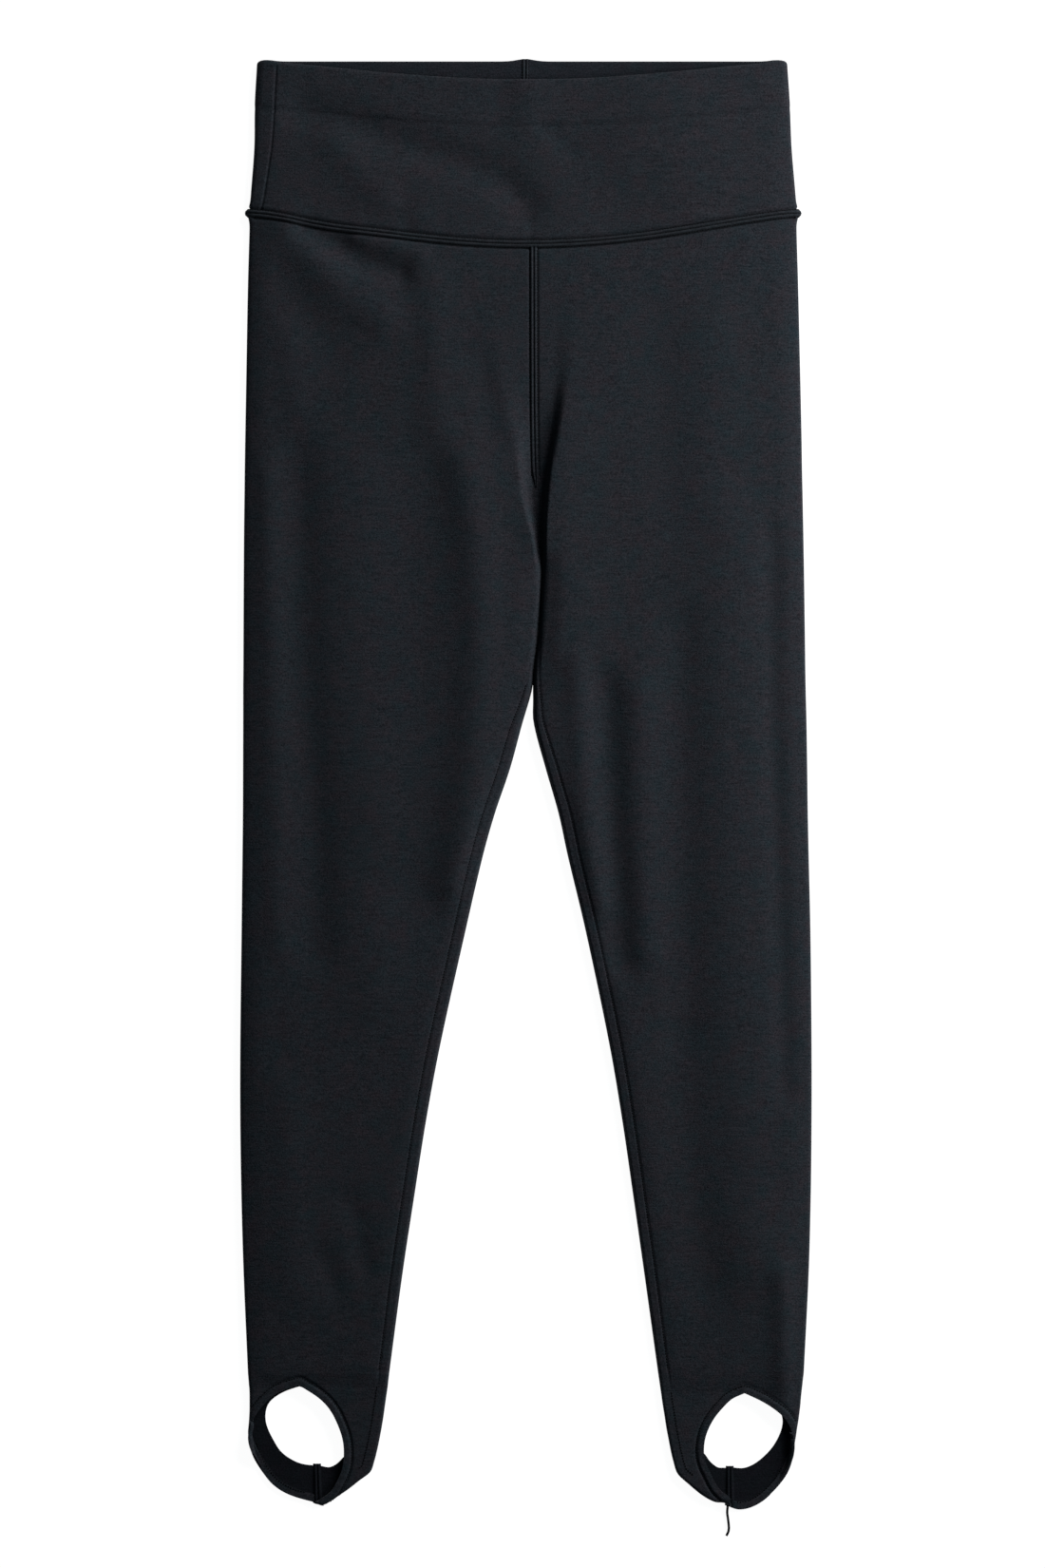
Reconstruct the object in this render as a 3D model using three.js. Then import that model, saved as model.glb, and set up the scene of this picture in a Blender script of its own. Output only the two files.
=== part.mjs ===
// Stirrup leggings laid flat, front side up, at an adult medium size.
// Millimetres. +X is the right of the picture, +Y runs to the waist, +Z faces the viewer.
// "right" and "left" in the names of pieces are the wearer's own sides, so the
// wearer's right leg lies at -X. "down" is the distance below the back waist edge.
import * as THREE from "three";

// Driving sizes.
const SEAM_GAP = 0.3;
const CLOTH = 1.4;
const WAISTBAND_CLOTH = 2.3;
const LAID_HEIGHT = 4.6;
const WAISTBAND_EXTRA = 0.6;
const LEG_END = 905;
const FADE_LENGTH = 20;

// Waist: the front edge and the waist seam hang lower at the middle.
const HALF_WAIST = 191;
const FRONT_TOP_DIP = 13;
const SEAM_DOWN = 105;
const FRONT_SEAM_DIP = 21.5;
const BACK_SEAM_DIP = 6;
const DIP_POWER = 1.5;
const DIP_FADES_BY = 260;
const ELASTIC_DEPTH = 31;
const BACK_SEAM_X = -0.4;
const RIGHT_SIDE_SEAM_REACH = 13.5;
const LEFT_SIDE_SEAM_REACH = 10;

// Seams are raised bands, as wide as their two rows of stitches.
const BAND_WIDTH = 4.7;
const BAND_RISE = 0.8;
const BAND_SIDE_BULGE = 2.4;
const CENTRE_BAND_RISE = 0.45;
const CENTRE_END = 336;
const CENTRE_POINT = 341;
const POINT_SHARE = 0.35;
const BACK_SEAM_STANDS = 1.6;
const HEM_WIDTH = 5.5;
const HEM_RISE = 0.5;
const HEM_STEP = 0.8;
const HEM_STRETCH = 8;
const STIRRUP_STEPS = 14;
const TOE_HEM_COLUMNS = 2;
const HEEL_HEM_COLUMN = 13;

// Length of section that is kept finely divided beside a leg's innermost line.
const INNER_STRETCH = 12;

function table(columns, rows) {
  return rows.map((row) => Object.fromEntries(columns.map((name, k) => [name, row[k]])));
}

// Outline of both legs. Above the crotch the inner edges are the centre front line.
const OUTLINE = table(
  ["down", "rightOuter", "rightInner", "leftInner", "leftOuter"],
  [
    [0, -185.3, 5.0, 5.0, 180.0],
    [32, -187.1, 5.0, 5.0, 182.2],
    [60, -187.5, 5.0, 5.0, 183.4],
    [100, -190.4, 5.0, 5.0, 186.6],
    [116, -190.8, 5.0, 5.0, 186.8],
    [155, -191.9, 5.0, 5.0, 187.9],
    [233, -193.3, 5.4, 5.4, 189.7],
    [290, -194.2, 8.5, 8.5, 190.8],
    [336, -194.7, 10.3, 10.3, 191.7],
    [354, -194.8, 10.3, 10.9, 192.0],
    [396, -195.0, 8.0, 8.6, 192.6],
    [421, -195.1, 5.2, 5.8, 192.9],
    [433, -195.2, 3.4, 4.4, 193.2],
    [456, -195.2, -2.2, 5.2, 193.7],
    [488, -195.3, -10.9, 13.6, 194.2],
    [519, -195.4, -21.4, 22.5, 194.6],
    [548, -195.7, -29.6, 28.8, 195.2],
    [600, -196.3, -41.7, 41.2, 196.4],
    [679, -197.2, -59.2, 57.7, 197.2],
    [731, -197.2, -68.9, 66.5, 197.2],
    [784, -196.4, -77.2, 74.2, 196.6],
    [836, -194.9, -85.1, 81.6, 195.2],
    [905, -191.9, -94.3, 91.2, 191.8],
  ]
);

// Crown of the upper layer, how far it sinks to the inner edges, and where the two
// edges of a leg's panel lie, measured round the section from its innermost line.
// From the crotch down they meet at the inseam, which climbs onto the front.
const SHAPE = table(
  ["down", "crown", "sink", "frontEdge", "backEdge"],
  [
    [0, 0.6, 0, 4.0, -4.0],
    [230, 0.8, 0, 4.0, -4.0],
    [290, 0.8, 0.7, 4.0, -4.0],
    [336, 0.8, 1, 4.0, -4.0],
    [346, 0.8, 1, 1.2, -1.2],
    [354, 0.8, 1, 0.3, -0.3],
    [396, 0.8, 1, 1.7, 1.3],
    [440, 0.8, 1, 4.6, 4.2],
    [470, 0.8, 1, 8.2, 7.8],
    [520, 0.8, 1, 9.4, 9.0],
    [836, 0.6, 1, 9.2, 8.8],
    [905, 0, 1, 8.2, 7.8],
  ]
);

// The largest folds: from one end to the other, half width, and height or depth.
const FOLDS = table(
  ["x0", "down0", "x1", "down1", "halfWidth", "height"],
  [
    [-141, 119, -84, 145, 9, -0.9],
    [-152, 121, -93, 156, 8, 0.6],
    [-169, 122, -139, 160, 8, -0.5],
    [-88, 54, 4, 96, 14, -0.8],
    [-122, 47, -57, 87, 12, 0.7],
    [-57, 88, 6, 110, 12, 0.6],
    [-2, 16, -2, 44, 7, -0.4],
    [-22, 16, -22, 44, 10, 0.4],
    [-6, 236, 3, 300, 9, 0.6],
    [19, 226, 12, 316, 8, -0.9],
    [-146, 270, -144, 480, 17, -0.5],
    [-105, 260, -100, 500, 20, 0.6],
    [120, 160, 116, 290, 17, 0.5],
    [145, 430, 141, 640, 18, 0.5],
    [76, 425, 84, 570, 13, 0.6],
  ]
);

// Waistband rows: a fixed distance below the edge, a share of the rest, the thickness
// that the elastic adds to the upper part, and how much the top edge is rounded.
const WAISTBAND_ROWS = table(
  ["fixed", "share", "elastic", "rounding"],
  [
    [0, 0, 0, 0.75],
    [1.2, 0, 0.3, 0],
    [15, 0, 0.3, 0],
    [28.5, 0, 0.3, 0],
    [ELASTIC_DEPTH, 0, 0, 0],
    [ELASTIC_DEPTH, 0.25, 0, 0],
    [ELASTIC_DEPTH, 0.5, 0, 0],
    [ELASTIC_DEPTH, 0.75, 0, 0],
    [ELASTIC_DEPTH, 1, 0, 0],
  ]
);

// Levels of the legs' sections, close together where the crotch and folds need it.
const LEG_LEVELS = [
  117, 132, 150, 170, 192, 216, 242, 268, 294, 316, 336, 346, 354, 375, 396, 421, 433,
  445, 457, 471, 489, 519, 553, 600, 650, 705, 760, 815, 865,
];

// Stirrups: stations from the ankle round to the seam under the foot. The toe edge
// lies on the front, the fold is the outline, and the heel edge lies on the back.
// "turn" is how far the cloth is folded over at the outline, in degrees.
const STATION = ["toeX", "toeDown", "foldX", "foldDown", "heelX", "heelDown", "turn"];
const STIRRUPS = {
  right_outer: table(STATION, [
    [-156.6, 905.3, -191.9, 905.3, -156.6, 905.3, 180],
    [-156.6, 913.2, -191.2, 913.5, -156.6, 914.5, 180],
    [-170.5, 917.9, -190.8, 921.0, -166.8, 917.9, 180],
    [-177.6, 923.3, -190.8, 927.9, -175.3, 923.3, 180],
    [-183.2, 929.5, -191.0, 933.0, -178.4, 927.5, 180],
    [-187.2, 935.0, -191.3, 938.0, -179.8, 932.5, 165],
    [-190.0, 941.5, -191.8, 943.5, -179.8, 938.5, 125],
    [-191.9, 949.0, -191.9, 949.0, -177.8, 945.0, 75],
    [-189.9, 958.0, -189.9, 958.0, -173.6, 953.0, 25],
    [-186.0, 967.4, -186.0, 967.4, -169.5, 959.5, 0],
    [-177.2, 980.3, -177.2, 980.3, -162.5, 964.8, 0],
    [-164.5, 989.2, -164.5, 989.2, -154.5, 968.3, 0],
    [-147.7, 993.6, -147.7, 993.6, -147.8, 970.0, 0],
  ]),
  right_inner: table(STATION, [
    [-156.2, 905.3, -94.3, 905.3, -156.2, 905.3, 180],
    [-156.2, 913.2, -95.4, 914.8, -156.2, 914.5, 180],
    [-142.1, 922.7, -97.1, 926.6, -138.0, 921.4, 180],
    [-135.0, 930.5, -98.7, 937.7, -129.5, 929.9, 180],
    [-129.5, 941.3, -100.7, 948.9, -123.6, 940.3, 180],
    [-126.5, 950.6, -102.6, 958.0, -121.0, 949.5, 180],
    [-125.6, 959.1, -104.6, 965.9, -121.6, 958.0, 180],
    [-126.5, 969.9, -107.2, 973.1, -127.2, 964.6, 180],
    [-130.1, 979.0, -115.1, 979.4, -131.4, 968.5, 180],
    [-135.0, 986.9, -124.8, 986.9, -136.0, 970.4, 180],
    [-142.2, 992.0, -141.9, 994.6, -142.2, 970.0, 150],
  ]),
  left_outer: table(STATION, [
    [150.9, 905.3, 191.8, 905.3, 150.9, 905.3, 180],
    [150.9, 918.7, 190.2, 918.7, 150.9, 917.5, 180],
    [164.1, 924.9, 189.4, 927.9, 166.8, 924.0, 180],
    [175.0, 932.3, 188.5, 936.0, 173.8, 929.6, 180],
    [180.0, 937.8, 187.4, 942.4, 177.1, 935.5, 165],
    [183.4, 944.5, 186.6, 949.0, 177.0, 942.5, 125],
    [185.6, 954.0, 185.6, 955.5, 174.2, 950.0, 75],
    [183.9, 964.8, 183.9, 964.8, 170.4, 956.4, 25],
    [179.2, 977.0, 179.2, 977.0, 165.4, 962.0, 0],
    [167.5, 990.1, 167.5, 990.1, 158.2, 967.9, 0],
    [157.0, 996.7, 157.0, 996.7, 150.5, 971.1, 0],
    [144.1, 998.0, 144.1, 998.0, 143.9, 970.5, 0],
  ]),
  left_inner: table(STATION, [
    [150.5, 905.3, 91.2, 905.3, 150.5, 905.3, 180],
    [150.5, 918.7, 93.2, 918.7, 150.5, 917.5, 180],
    [142.1, 922.7, 94.3, 926.6, 139.2, 921.4, 180],
    [135.9, 928.6, 95.6, 934.5, 131.3, 927.9, 180],
    [130.0, 935.8, 96.9, 943.0, 125.4, 935.8, 180],
    [125.8, 943.6, 98.4, 950.8, 120.8, 943.6, 180],
    [123.5, 950.8, 99.9, 958.7, 118.9, 951.5, 180],
    [122.8, 959.4, 101.8, 966.5, 119.5, 958.0, 180],
    [124.1, 966.9, 104.5, 974.4, 123.5, 961.3, 180],
    [128.0, 975.4, 111.7, 982.6, 127.4, 966.6, 180],
    [132.6, 983.9, 123.5, 989.0, 132.6, 970.5, 180],
    [138.5, 989.5, 138.2, 996.6, 138.4, 971.0, 170],
  ]),
};

// Bands of the seam under each foot, from the heel edge to the toe edge.
const UNDER_FOOT_SEAMS = table(
  ["side", "heelX", "heelDown", "toeX", "toeDown", "width"],
  [
    ["right", -145.0, 968.9, -144.9, 994.6, 4.8],
    ["left", 141.1, 970.3, 141.3, 998.6, 4.8],
  ]
);

const CLOTH_LOOK = { color: 0x26292d, roughness: 0.92, metalness: 0 };
const WAISTBAND_LOOK = { color: 0x2a2d31, roughness: 0.92, metalness: 0 };
const SEAM_LOOK = { color: 0x1f2226, roughness: 0.95, metalness: 0 };

// A smooth curve through one column of a table.
function sample(rows, column, down) {
  const last = rows.length - 1;
  const at = THREE.MathUtils.clamp(down, rows[0].down, rows[last].down);
  let k = 0;
  while (k < last - 1 && rows[k + 1].down < at) k += 1;
  const slope = (i) => {
    const a = rows[Math.max(i - 1, 0)];
    const b = rows[Math.min(i + 1, last)];
    return (b[column] - a[column]) / (b.down - a.down);
  };
  const span = rows[k + 1].down - rows[k].down;
  const t = (at - rows[k].down) / span;
  const rise = rows[k + 1][column] - rows[k][column];
  const start = slope(k) * span - rise;
  const end = rise - slope(k + 1) * span;
  return rows[k][column] + t * rise + t * (1 - t) * ((1 - t) * start + t * end);
}

function straight(rows, column, down) {
  const last = rows.length - 1;
  const k = Math.max(0, Math.min(last - 1, rows.findLastIndex((row) => row.down <= down)));
  const t = THREE.MathUtils.clamp((down - rows[k].down) / (rows[k + 1].down - rows[k].down), 0, 1);
  return THREE.MathUtils.lerp(rows[k][column], rows[k + 1][column], t);
}

function dip(x) {
  return Math.max(0, 1 - (x / HALF_WAIST) ** 2) ** DIP_POWER;
}

function foldHeight(x, down) {
  let height = 0;
  for (const fold of FOLDS) {
    const alongX = fold.x1 - fold.x0;
    const alongDown = fold.down1 - fold.down0;
    const length = Math.hypot(alongX, alongDown);
    const along = ((x - fold.x0) * alongX + (down - fold.down0) * alongDown) / length;
    const across = ((x - fold.x0) * alongDown - (down - fold.down0) * alongX) / length;
    const past = Math.max(0, Math.abs(along - length / 2) - length / 2);
    height += fold.height * Math.exp(-((across ** 2 + past ** 2) / fold.halfWidth ** 2));
  }
  return height;
}

// Height of the outer face of the upper layer: an edge fold, a crown and the folds.
function topHeight(x, down) {
  const fade = (distance) => THREE.MathUtils.smoothstep(distance, 0, FADE_LENGTH);
  const right = x < sample(OUTLINE, "rightInner", down);
  const outer = Math.abs(x - sample(OUTLINE, right ? "rightOuter" : "leftOuter", down));
  const inner = Math.abs(x - sample(OUTLINE, right ? "rightInner" : "leftInner", down));
  const sink = straight(SHAPE, "sink", down);
  const share = fade(outer) * (1 - sink * (1 - fade(inner)));
  return LAID_HEIGHT + share * (straight(SHAPE, "crown", down) + foldHeight(x, down));
}

// One section of a flat laid tube, as a loop measured from its first fold: over the
// upper layer, round the second fold and back along the floor.
class Loop {
  constructor(first, second, height) {
    this.first = first;
    this.sign = Math.sign(second - first);
    this.width = Math.abs(second - first);
    this.height = height;
    this.radius = height / 2;
    this.quarter = (Math.PI / 2) * this.radius;
    this.flat = this.width - height;
    this.topEnd = this.quarter + this.flat;
    this.floorStart = this.topEnd + 2 * this.quarter;
    this.length = this.floorStart + this.flat + this.quarter;
  }

  // The point at a distance round the loop, with the outward normal.
  at(distance) {
    const s = THREE.MathUtils.euclideanModulo(distance, this.length);
    let reach = this.radius + s - this.quarter;
    let normal = [0, 1];
    if (s < this.quarter || s > this.length - this.quarter) {
      const angle = (s < this.quarter ? s : s - this.length) / this.radius;
      normal = [-Math.cos(angle), Math.sin(angle)];
      reach = this.radius * (1 + normal[0]);
    } else if (s >= this.floorStart) {
      normal = [0, -1];
      reach = this.radius + this.length - this.quarter - s;
    } else if (s > this.topEnd) {
      const angle = (s - this.topEnd) / this.radius;
      normal = [Math.sin(angle), Math.cos(angle)];
      reach = this.width - this.radius * (1 - normal[0]);
    }
    const z = this.radius * (1 + normal[1]);
    const front = normal[1] > 0;
    return { x: this.first + this.sign * reach, z, normalX: this.sign * normal[0], normalZ: normal[1], front };
  }

  // Distances to a place on the upper layer, or on the floor, at a reach from a fold.
  onTop(reach) {
    return this.quarter + reach - this.radius;
  }

  onFloor(reachFromSecond) {
    return this.floorStart + reachFromSecond - this.radius;
  }
}

// Evenly spaced numbers through each stop, without doubling the stops.
function spread(stops, steps) {
  const values = [stops[0]];
  steps.forEach((count, part) => {
    for (let k = 1; k <= count; k += 1) {
      values.push(THREE.MathUtils.lerp(stops[part], stops[part + 1], k / count));
    }
  });
  return values;
}

function place(x, down, z) {
  return new THREE.Vector3(x, -down, Math.max(0, z));
}

// A closed wall between an outer and an inner grid of points.
function wall(outer, inner, ring = false) {
  const rows = outer.length;
  const columns = outer[0].length;
  const points = [...outer.flat(), ...inner.flat()];
  const out = (i, j) => i * columns + (j % columns);
  const into = (i, j) => rows * columns + out(i, j);
  const faces = [];
  const quad = (a, b, c, d) => faces.push(a, b, c, a, c, d);
  const last = rows - 1;
  const end = columns - 1;
  for (let j = 0; j < (ring ? columns : end); j += 1) {
    for (let i = 0; i < last; i += 1) {
      quad(out(i, j), out(i + 1, j), out(i + 1, j + 1), out(i, j + 1));
      quad(into(i, j), into(i, j + 1), into(i + 1, j + 1), into(i + 1, j));
    }
    quad(out(0, j), out(0, j + 1), into(0, j + 1), into(0, j));
    quad(out(last, j), into(last, j), into(last, j + 1), out(last, j + 1));
  }
  for (let i = 0; i < (ring ? 0 : last); i += 1) {
    quad(out(i, 0), into(i, 0), into(i + 1, 0), out(i + 1, 0));
    quad(out(i, end), out(i + 1, end), into(i + 1, end), into(i, end));
  }
  return facingOut(points, faces);
}

function facingOut(points, faces) {
  let volume = 0;
  for (let k = 0; k < faces.length; k += 3) {
    const [a, b, c] = [points[faces[k]], points[faces[k + 1]], points[faces[k + 2]]];
    volume += a.dot(new THREE.Vector3().crossVectors(b, c));
  }
  const geometry = new THREE.BufferGeometry().setFromPoints(points);
  geometry.setIndex(volume < 0 ? faces.reverse() : faces);
  geometry.computeVertexNormals();
  return geometry;
}

const garment = new THREE.Group();

function add(name, geometry, look) {
  const mesh = new THREE.Mesh(geometry, new THREE.MeshStandardMaterial(look));
  mesh.name = name;
  garment.add(mesh);
}

// The front edge, back edge and waist seam are level at the sides and dip between.
function seamDown(x, front) {
  return SEAM_DOWN + dip(x) * (front ? FRONT_SEAM_DIP : BACK_SEAM_DIP);
}

function edgeDown(x, front) {
  return front ? dip(x) * FRONT_TOP_DIP : 0;
}

// Waistband: three pieces round one loop, with seams by the sides and at the back.
function waistbandRow(row, piece) {
  const depth = SEAM_DOWN * row.share + row.fixed * (1 - row.share);
  const right = sample(OUTLINE, "rightOuter", depth);
  const left = sample(OUTLINE, "leftOuter", depth);
  const loop = new Loop(right, left, LAID_HEIGHT + WAISTBAND_EXTRA);
  const half = SEAM_GAP / 2;
  const frontStart = loop.onTop(RIGHT_SIDE_SEAM_REACH - row.share * 2);
  const frontEnd = loop.onFloor(LEFT_SIDE_SEAM_REACH);
  const backSeam = (x) => loop.onFloor(left - x);
  const bandEdge = BAND_WIDTH / 2 + SEAM_GAP;
  const distances = {
    front: () => spread([frontStart + half, loop.topEnd, loop.floorStart, frontEnd - half], [24, 5, 2]),
    back_left: () => spread([frontEnd + half, backSeam(BACK_SEAM_X + bandEdge)], [8]),
    back_right: () => spread(
      [backSeam(BACK_SEAM_X - bandEdge), loop.length - loop.quarter, loop.length + loop.quarter,
        loop.length + frontStart - half],
      [8, 5, 2],
    ),
  }[piece]();
  return distances.map((distance) => {
    const at = loop.at(distance);
    const top = edgeDown(at.x, at.front);
    const bottom = seamDown(at.x, at.front) - BAND_WIDTH / 2 - SEAM_GAP;
    const down = top + row.fixed + row.share * (bottom - top - ELASTIC_DEPTH);
    const onTop = at.normalZ === 1;
    const z = onTop ? topHeight(at.x, down) + WAISTBAND_EXTRA : at.z;
    const lift = row.elastic - row.rounding;
    const sunk = row.rounding - WAISTBAND_CLOTH;
    return {
      outer: place(at.x + at.normalX * lift, down, z + at.normalZ * lift),
      inner: place(at.x + at.normalX * sunk, down, z + at.normalZ * sunk),
    };
  });
}

function addGrid(name, grid, look, ring = false) {
  const outer = grid.map((row) => row.map((point) => point.outer));
  const inner = grid.map((row) => row.map((point) => point.inner));
  add(name, wall(outer, inner, ring), look);
}

for (const part of ["front", "back_left", "back_right"]) {
  const grid = WAISTBAND_ROWS.map((row) => waistbandRow(row, part));
  addGrid(`waistband_${part}`, grid, WAISTBAND_LOOK);
}

// Waist seam: a raised ring between the waistband and the legs.
function waistSeamRow(share, rise) {
  const right = sample(OUTLINE, "rightOuter", SEAM_DOWN);
  const left = sample(OUTLINE, "leftOuter", SEAM_DOWN);
  const extra = WAISTBAND_EXTRA / 2;
  const loop = new Loop(right, left, LAID_HEIGHT + extra);
  const stops = [loop.quarter, loop.topEnd, loop.floorStart, loop.floorStart + loop.flat, loop.length + loop.quarter];
  const distances = spread(stops, [24, 5, 8, 5]).slice(0, -1);
  return distances.map((distance) => {
    const at = loop.at(distance);
    const down = seamDown(at.x, at.front) + (share * BAND_WIDTH) / 2;
    const z = at.normalZ === 1 ? topHeight(at.x, down) + extra : at.z;
    const outX = at.x + at.normalX * rise * BAND_SIDE_BULGE;
    return {
      outer: place(outX, down, z + at.normalZ * rise * BAND_RISE),
      inner: place(at.x - at.normalX * CLOTH, down, z - at.normalZ * CLOTH),
    };
  });
}

const BAND_PROFILE = table(["share", "rise"], [[-1, 0], [-0.6, 1], [0.6, 1], [1, 0]]);
addGrid("waist_seam", BAND_PROFILE.map((edge) => waistSeamRow(edge.share, edge.rise)), SEAM_LOOK, true);

// Legs: each is one panel from the centre front, round the side, to the centre back.
function legRow(side, level) {
  const innerX = sample(OUTLINE, `${side}Inner`, level);
  const outerX = sample(OUTLINE, `${side}Outer`, level);
  const loop = new Loop(innerX, outerX, LAID_HEIGHT);
  const start = straight(SHAPE, "frontEdge", level);
  const end = loop.length + straight(SHAPE, "backEdge", level);
  const stops = [start, INNER_STRETCH, loop.topEnd, loop.floorStart, loop.length - INNER_STRETCH, end];
  const dipShare = 1 - THREE.MathUtils.smoothstep(level, SEAM_DOWN, DIP_FADES_BY);
  return spread(stops, [5, 12, 5, 3, 10]).map((distance) => {
    const at = loop.at(distance);
    const down = level + dipShare * (seamDown(at.x, at.front) - SEAM_DOWN);
    const z = at.normalZ === 1 ? topHeight(at.x, down) : at.z;
    return {
      outer: place(at.x, down, z),
      inner: place(at.x - at.normalX * CLOTH, down, z - at.normalZ * CLOTH),
    };
  });
}

const legStart = SEAM_DOWN + BAND_WIDTH / 2 + SEAM_GAP;
const legLevels = [legStart, ...LEG_LEVELS, LEG_END - SEAM_GAP / 2];
for (const side of ["right", "left"]) {
  addGrid(`leg_${side}`, legLevels.map((level) => legRow(side, level)), CLOTH_LOOK);
}

// Seam bands down the middle: across from edge to edge, raised on one face, and
// drawn to a point at the crotch.
function band(levels, centreX, faces) {
  return levels.map((down) =>
    BAND_PROFILE.map(({ share, rise }) => {
      const width = down > CENTRE_END ? BAND_WIDTH * POINT_SHARE : BAND_WIDTH;
      const x = centreX(down) + (share * width) / 2;
      const [outerZ, innerZ] = faces(x, down, rise);
      return { outer: place(x, down, outerZ), inner: place(x, down, innerZ) };
    }));
}

const centreX = (down) => sample(OUTLINE, "rightInner", down);
const bandEdgeDown = BAND_WIDTH / 2 + SEAM_GAP;
const centreLevels = (front) => {
  const start = seamDown(centreX(0), front) + bandEdgeDown;
  return spread([start, CENTRE_END, CENTRE_POINT], [12, 1]);
};
const frontBand = band(centreLevels(true), centreX, (x, down, rise) => {
  const z = topHeight(x, down);
  return [z + rise * CENTRE_BAND_RISE, z - CLOTH];
});
addGrid("centre_front_seam", frontBand, SEAM_LOOK);

const backBand = band(centreLevels(false), centreX, (x, down, rise) => [0, CLOTH + rise * CENTRE_BAND_RISE]);
addGrid("centre_back_seam", backBand, SEAM_LOOK);

const waistBackLevels = spread([-BACK_SEAM_STANDS, seamDown(BACK_SEAM_X, false) - bandEdgeDown], [4]);
const waistBackBand = band(waistBackLevels, () => BACK_SEAM_X,
  (x, down, rise) => [0, WAISTBAND_CLOTH + rise * CENTRE_BAND_RISE]);
addGrid("waistband_back_seam", waistBackBand, SEAM_LOOK);

// Stirrups: each half is one strip, folded over at the outline where "turn" says so.
function stirrupRow(stations, t, hemRise) {
  const route = (x, down) => {
    const points = stations.map((station) => new THREE.Vector3(station[x], station[down], 0));
    const at = new THREE.CatmullRomCurve3(points).getPoint(t);
    return new THREE.Vector2(at.x, at.y);
  };
  const toe = route("toeX", "toeDown");
  const fold = route("foldX", "foldDown");
  const heel = route("heelX", "heelDown");
  const along = t * (stations.length - 1);
  const before = Math.min(Math.floor(along), stations.length - 2);
  const turned = THREE.MathUtils.lerp(stations[before].turn, stations[before + 1].turn, along - before);
  const turn = THREE.MathUtils.degToRad(turned);
  const radius = LAID_HEIGHT / 2;
  const out = fold.clone().sub(heel).normalize();
  const reach = radius * (turn > Math.PI / 2 ? 1 : Math.sin(turn));
  const centre = fold.clone().addScaledVector(out, -reach);
  const topLength = turn > 0 ? Math.max(0, toe.distanceTo(centre)) : 0;
  const arcLength = radius * turn;
  const floorLength = centre.distanceTo(heel);
  const total = topLength + arcLength + floorLength;
  const foldStart = Math.max(topLength, HEM_STRETCH);
  const foldEnd = Math.max(topLength + arcLength, foldStart + CLOTH);
  const hemEnd = total - HEM_WIDTH;
  const stops = [0, HEM_WIDTH, HEM_WIDTH + HEM_STEP, foldStart, foldEnd, hemEnd - HEM_STEP, hemEnd, total];
  return spread(stops, [2, 1, 2, 4, 3, 1, 1]).map((s, column) => {
    let spot;
    let normal = [0, 0, -1];
    let z = 0;
    if (s < topLength) {
      spot = toe.clone().lerp(centre, s / topLength);
      normal = [0, 0, 1];
      z = LAID_HEIGHT;
    } else if (s < topLength + arcLength) {
      const angle = turn - (s - topLength) / radius;
      spot = centre.clone().addScaledVector(out, radius * Math.sin(angle));
      normal = [out.x * Math.sin(angle), out.y * Math.sin(angle), -Math.cos(angle)];
      z = radius * (1 - Math.cos(angle));
    } else {
      spot = centre.clone().lerp(heel, (s - topLength - arcLength) / floorLength);
    }
    const folded = turned / 180;
    const toeHem = column <= TOE_HEM_COLUMNS ? hemRise : 0;
    const heelHem = column >= HEEL_HEM_COLUMN ? hemRise : 0;
    const lift = toeHem * folded;
    const sunk = CLOTH + toeHem * (1 - folded) + heelHem;
    const shifted = (by) => place(spot.x + normal[0] * by, spot.y + normal[1] * by, z + normal[2] * by);
    return { outer: shifted(lift), inner: shifted(-sunk) };
  });
}

for (const [name, stations] of Object.entries(STIRRUPS)) {
  const [side, half] = name.split("_");
  const ankle = stirrupRow(stations.slice(0, 2), 0, 0);
  const round = spread([0, 1], [STIRRUP_STEPS]).map((t, k) => stirrupRow(stations.slice(1), t, k > 0 ? HEM_RISE : 0));
  addGrid(`stirrup_${side}_${half}`, [ankle, ...round], CLOTH_LOOK);
}

// The seam under each foot runs from the heel edge to the toe edge.
for (const seam of UNDER_FOOT_SEAMS) {
  const grid = spread([0, 1], [5]).map((t) =>
    BAND_PROFILE.map(({ share, rise }) => {
      const x = THREE.MathUtils.lerp(seam.heelX, seam.toeX, t) + (share * seam.width) / 2;
      const down = THREE.MathUtils.lerp(seam.heelDown, seam.toeDown, t);
      return { outer: place(x, down, 0), inner: place(x, down, CLOTH + HEM_RISE + rise * BAND_RISE) };
    }));
  addGrid(`under_foot_seam_${seam.side}`, grid, SEAM_LOOK);
}

// The origin lies under the middle of the laid garment.
const box = new THREE.Box3().setFromObject(garment);
const middle = box.getCenter(new THREE.Vector3());
garment.position.set(-middle.x, -middle.y, -box.min.z);
garment.updateMatrixWorld(true);

export default garment;
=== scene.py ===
# %% [markdown]
# # Stirrup leggings, laid flat
#
# A pair of high-waisted leggings in thick black knit lies front side up on a pale floor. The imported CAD
# model gives the frame. Each panel is made again here as soft cloth on the form of its solid, with
# creases, seams, stitches and the look of the knit. "right" and "left" are the wearer's own sides, so the
# right leg is at -X.

# %% Load the frame
import math

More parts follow.
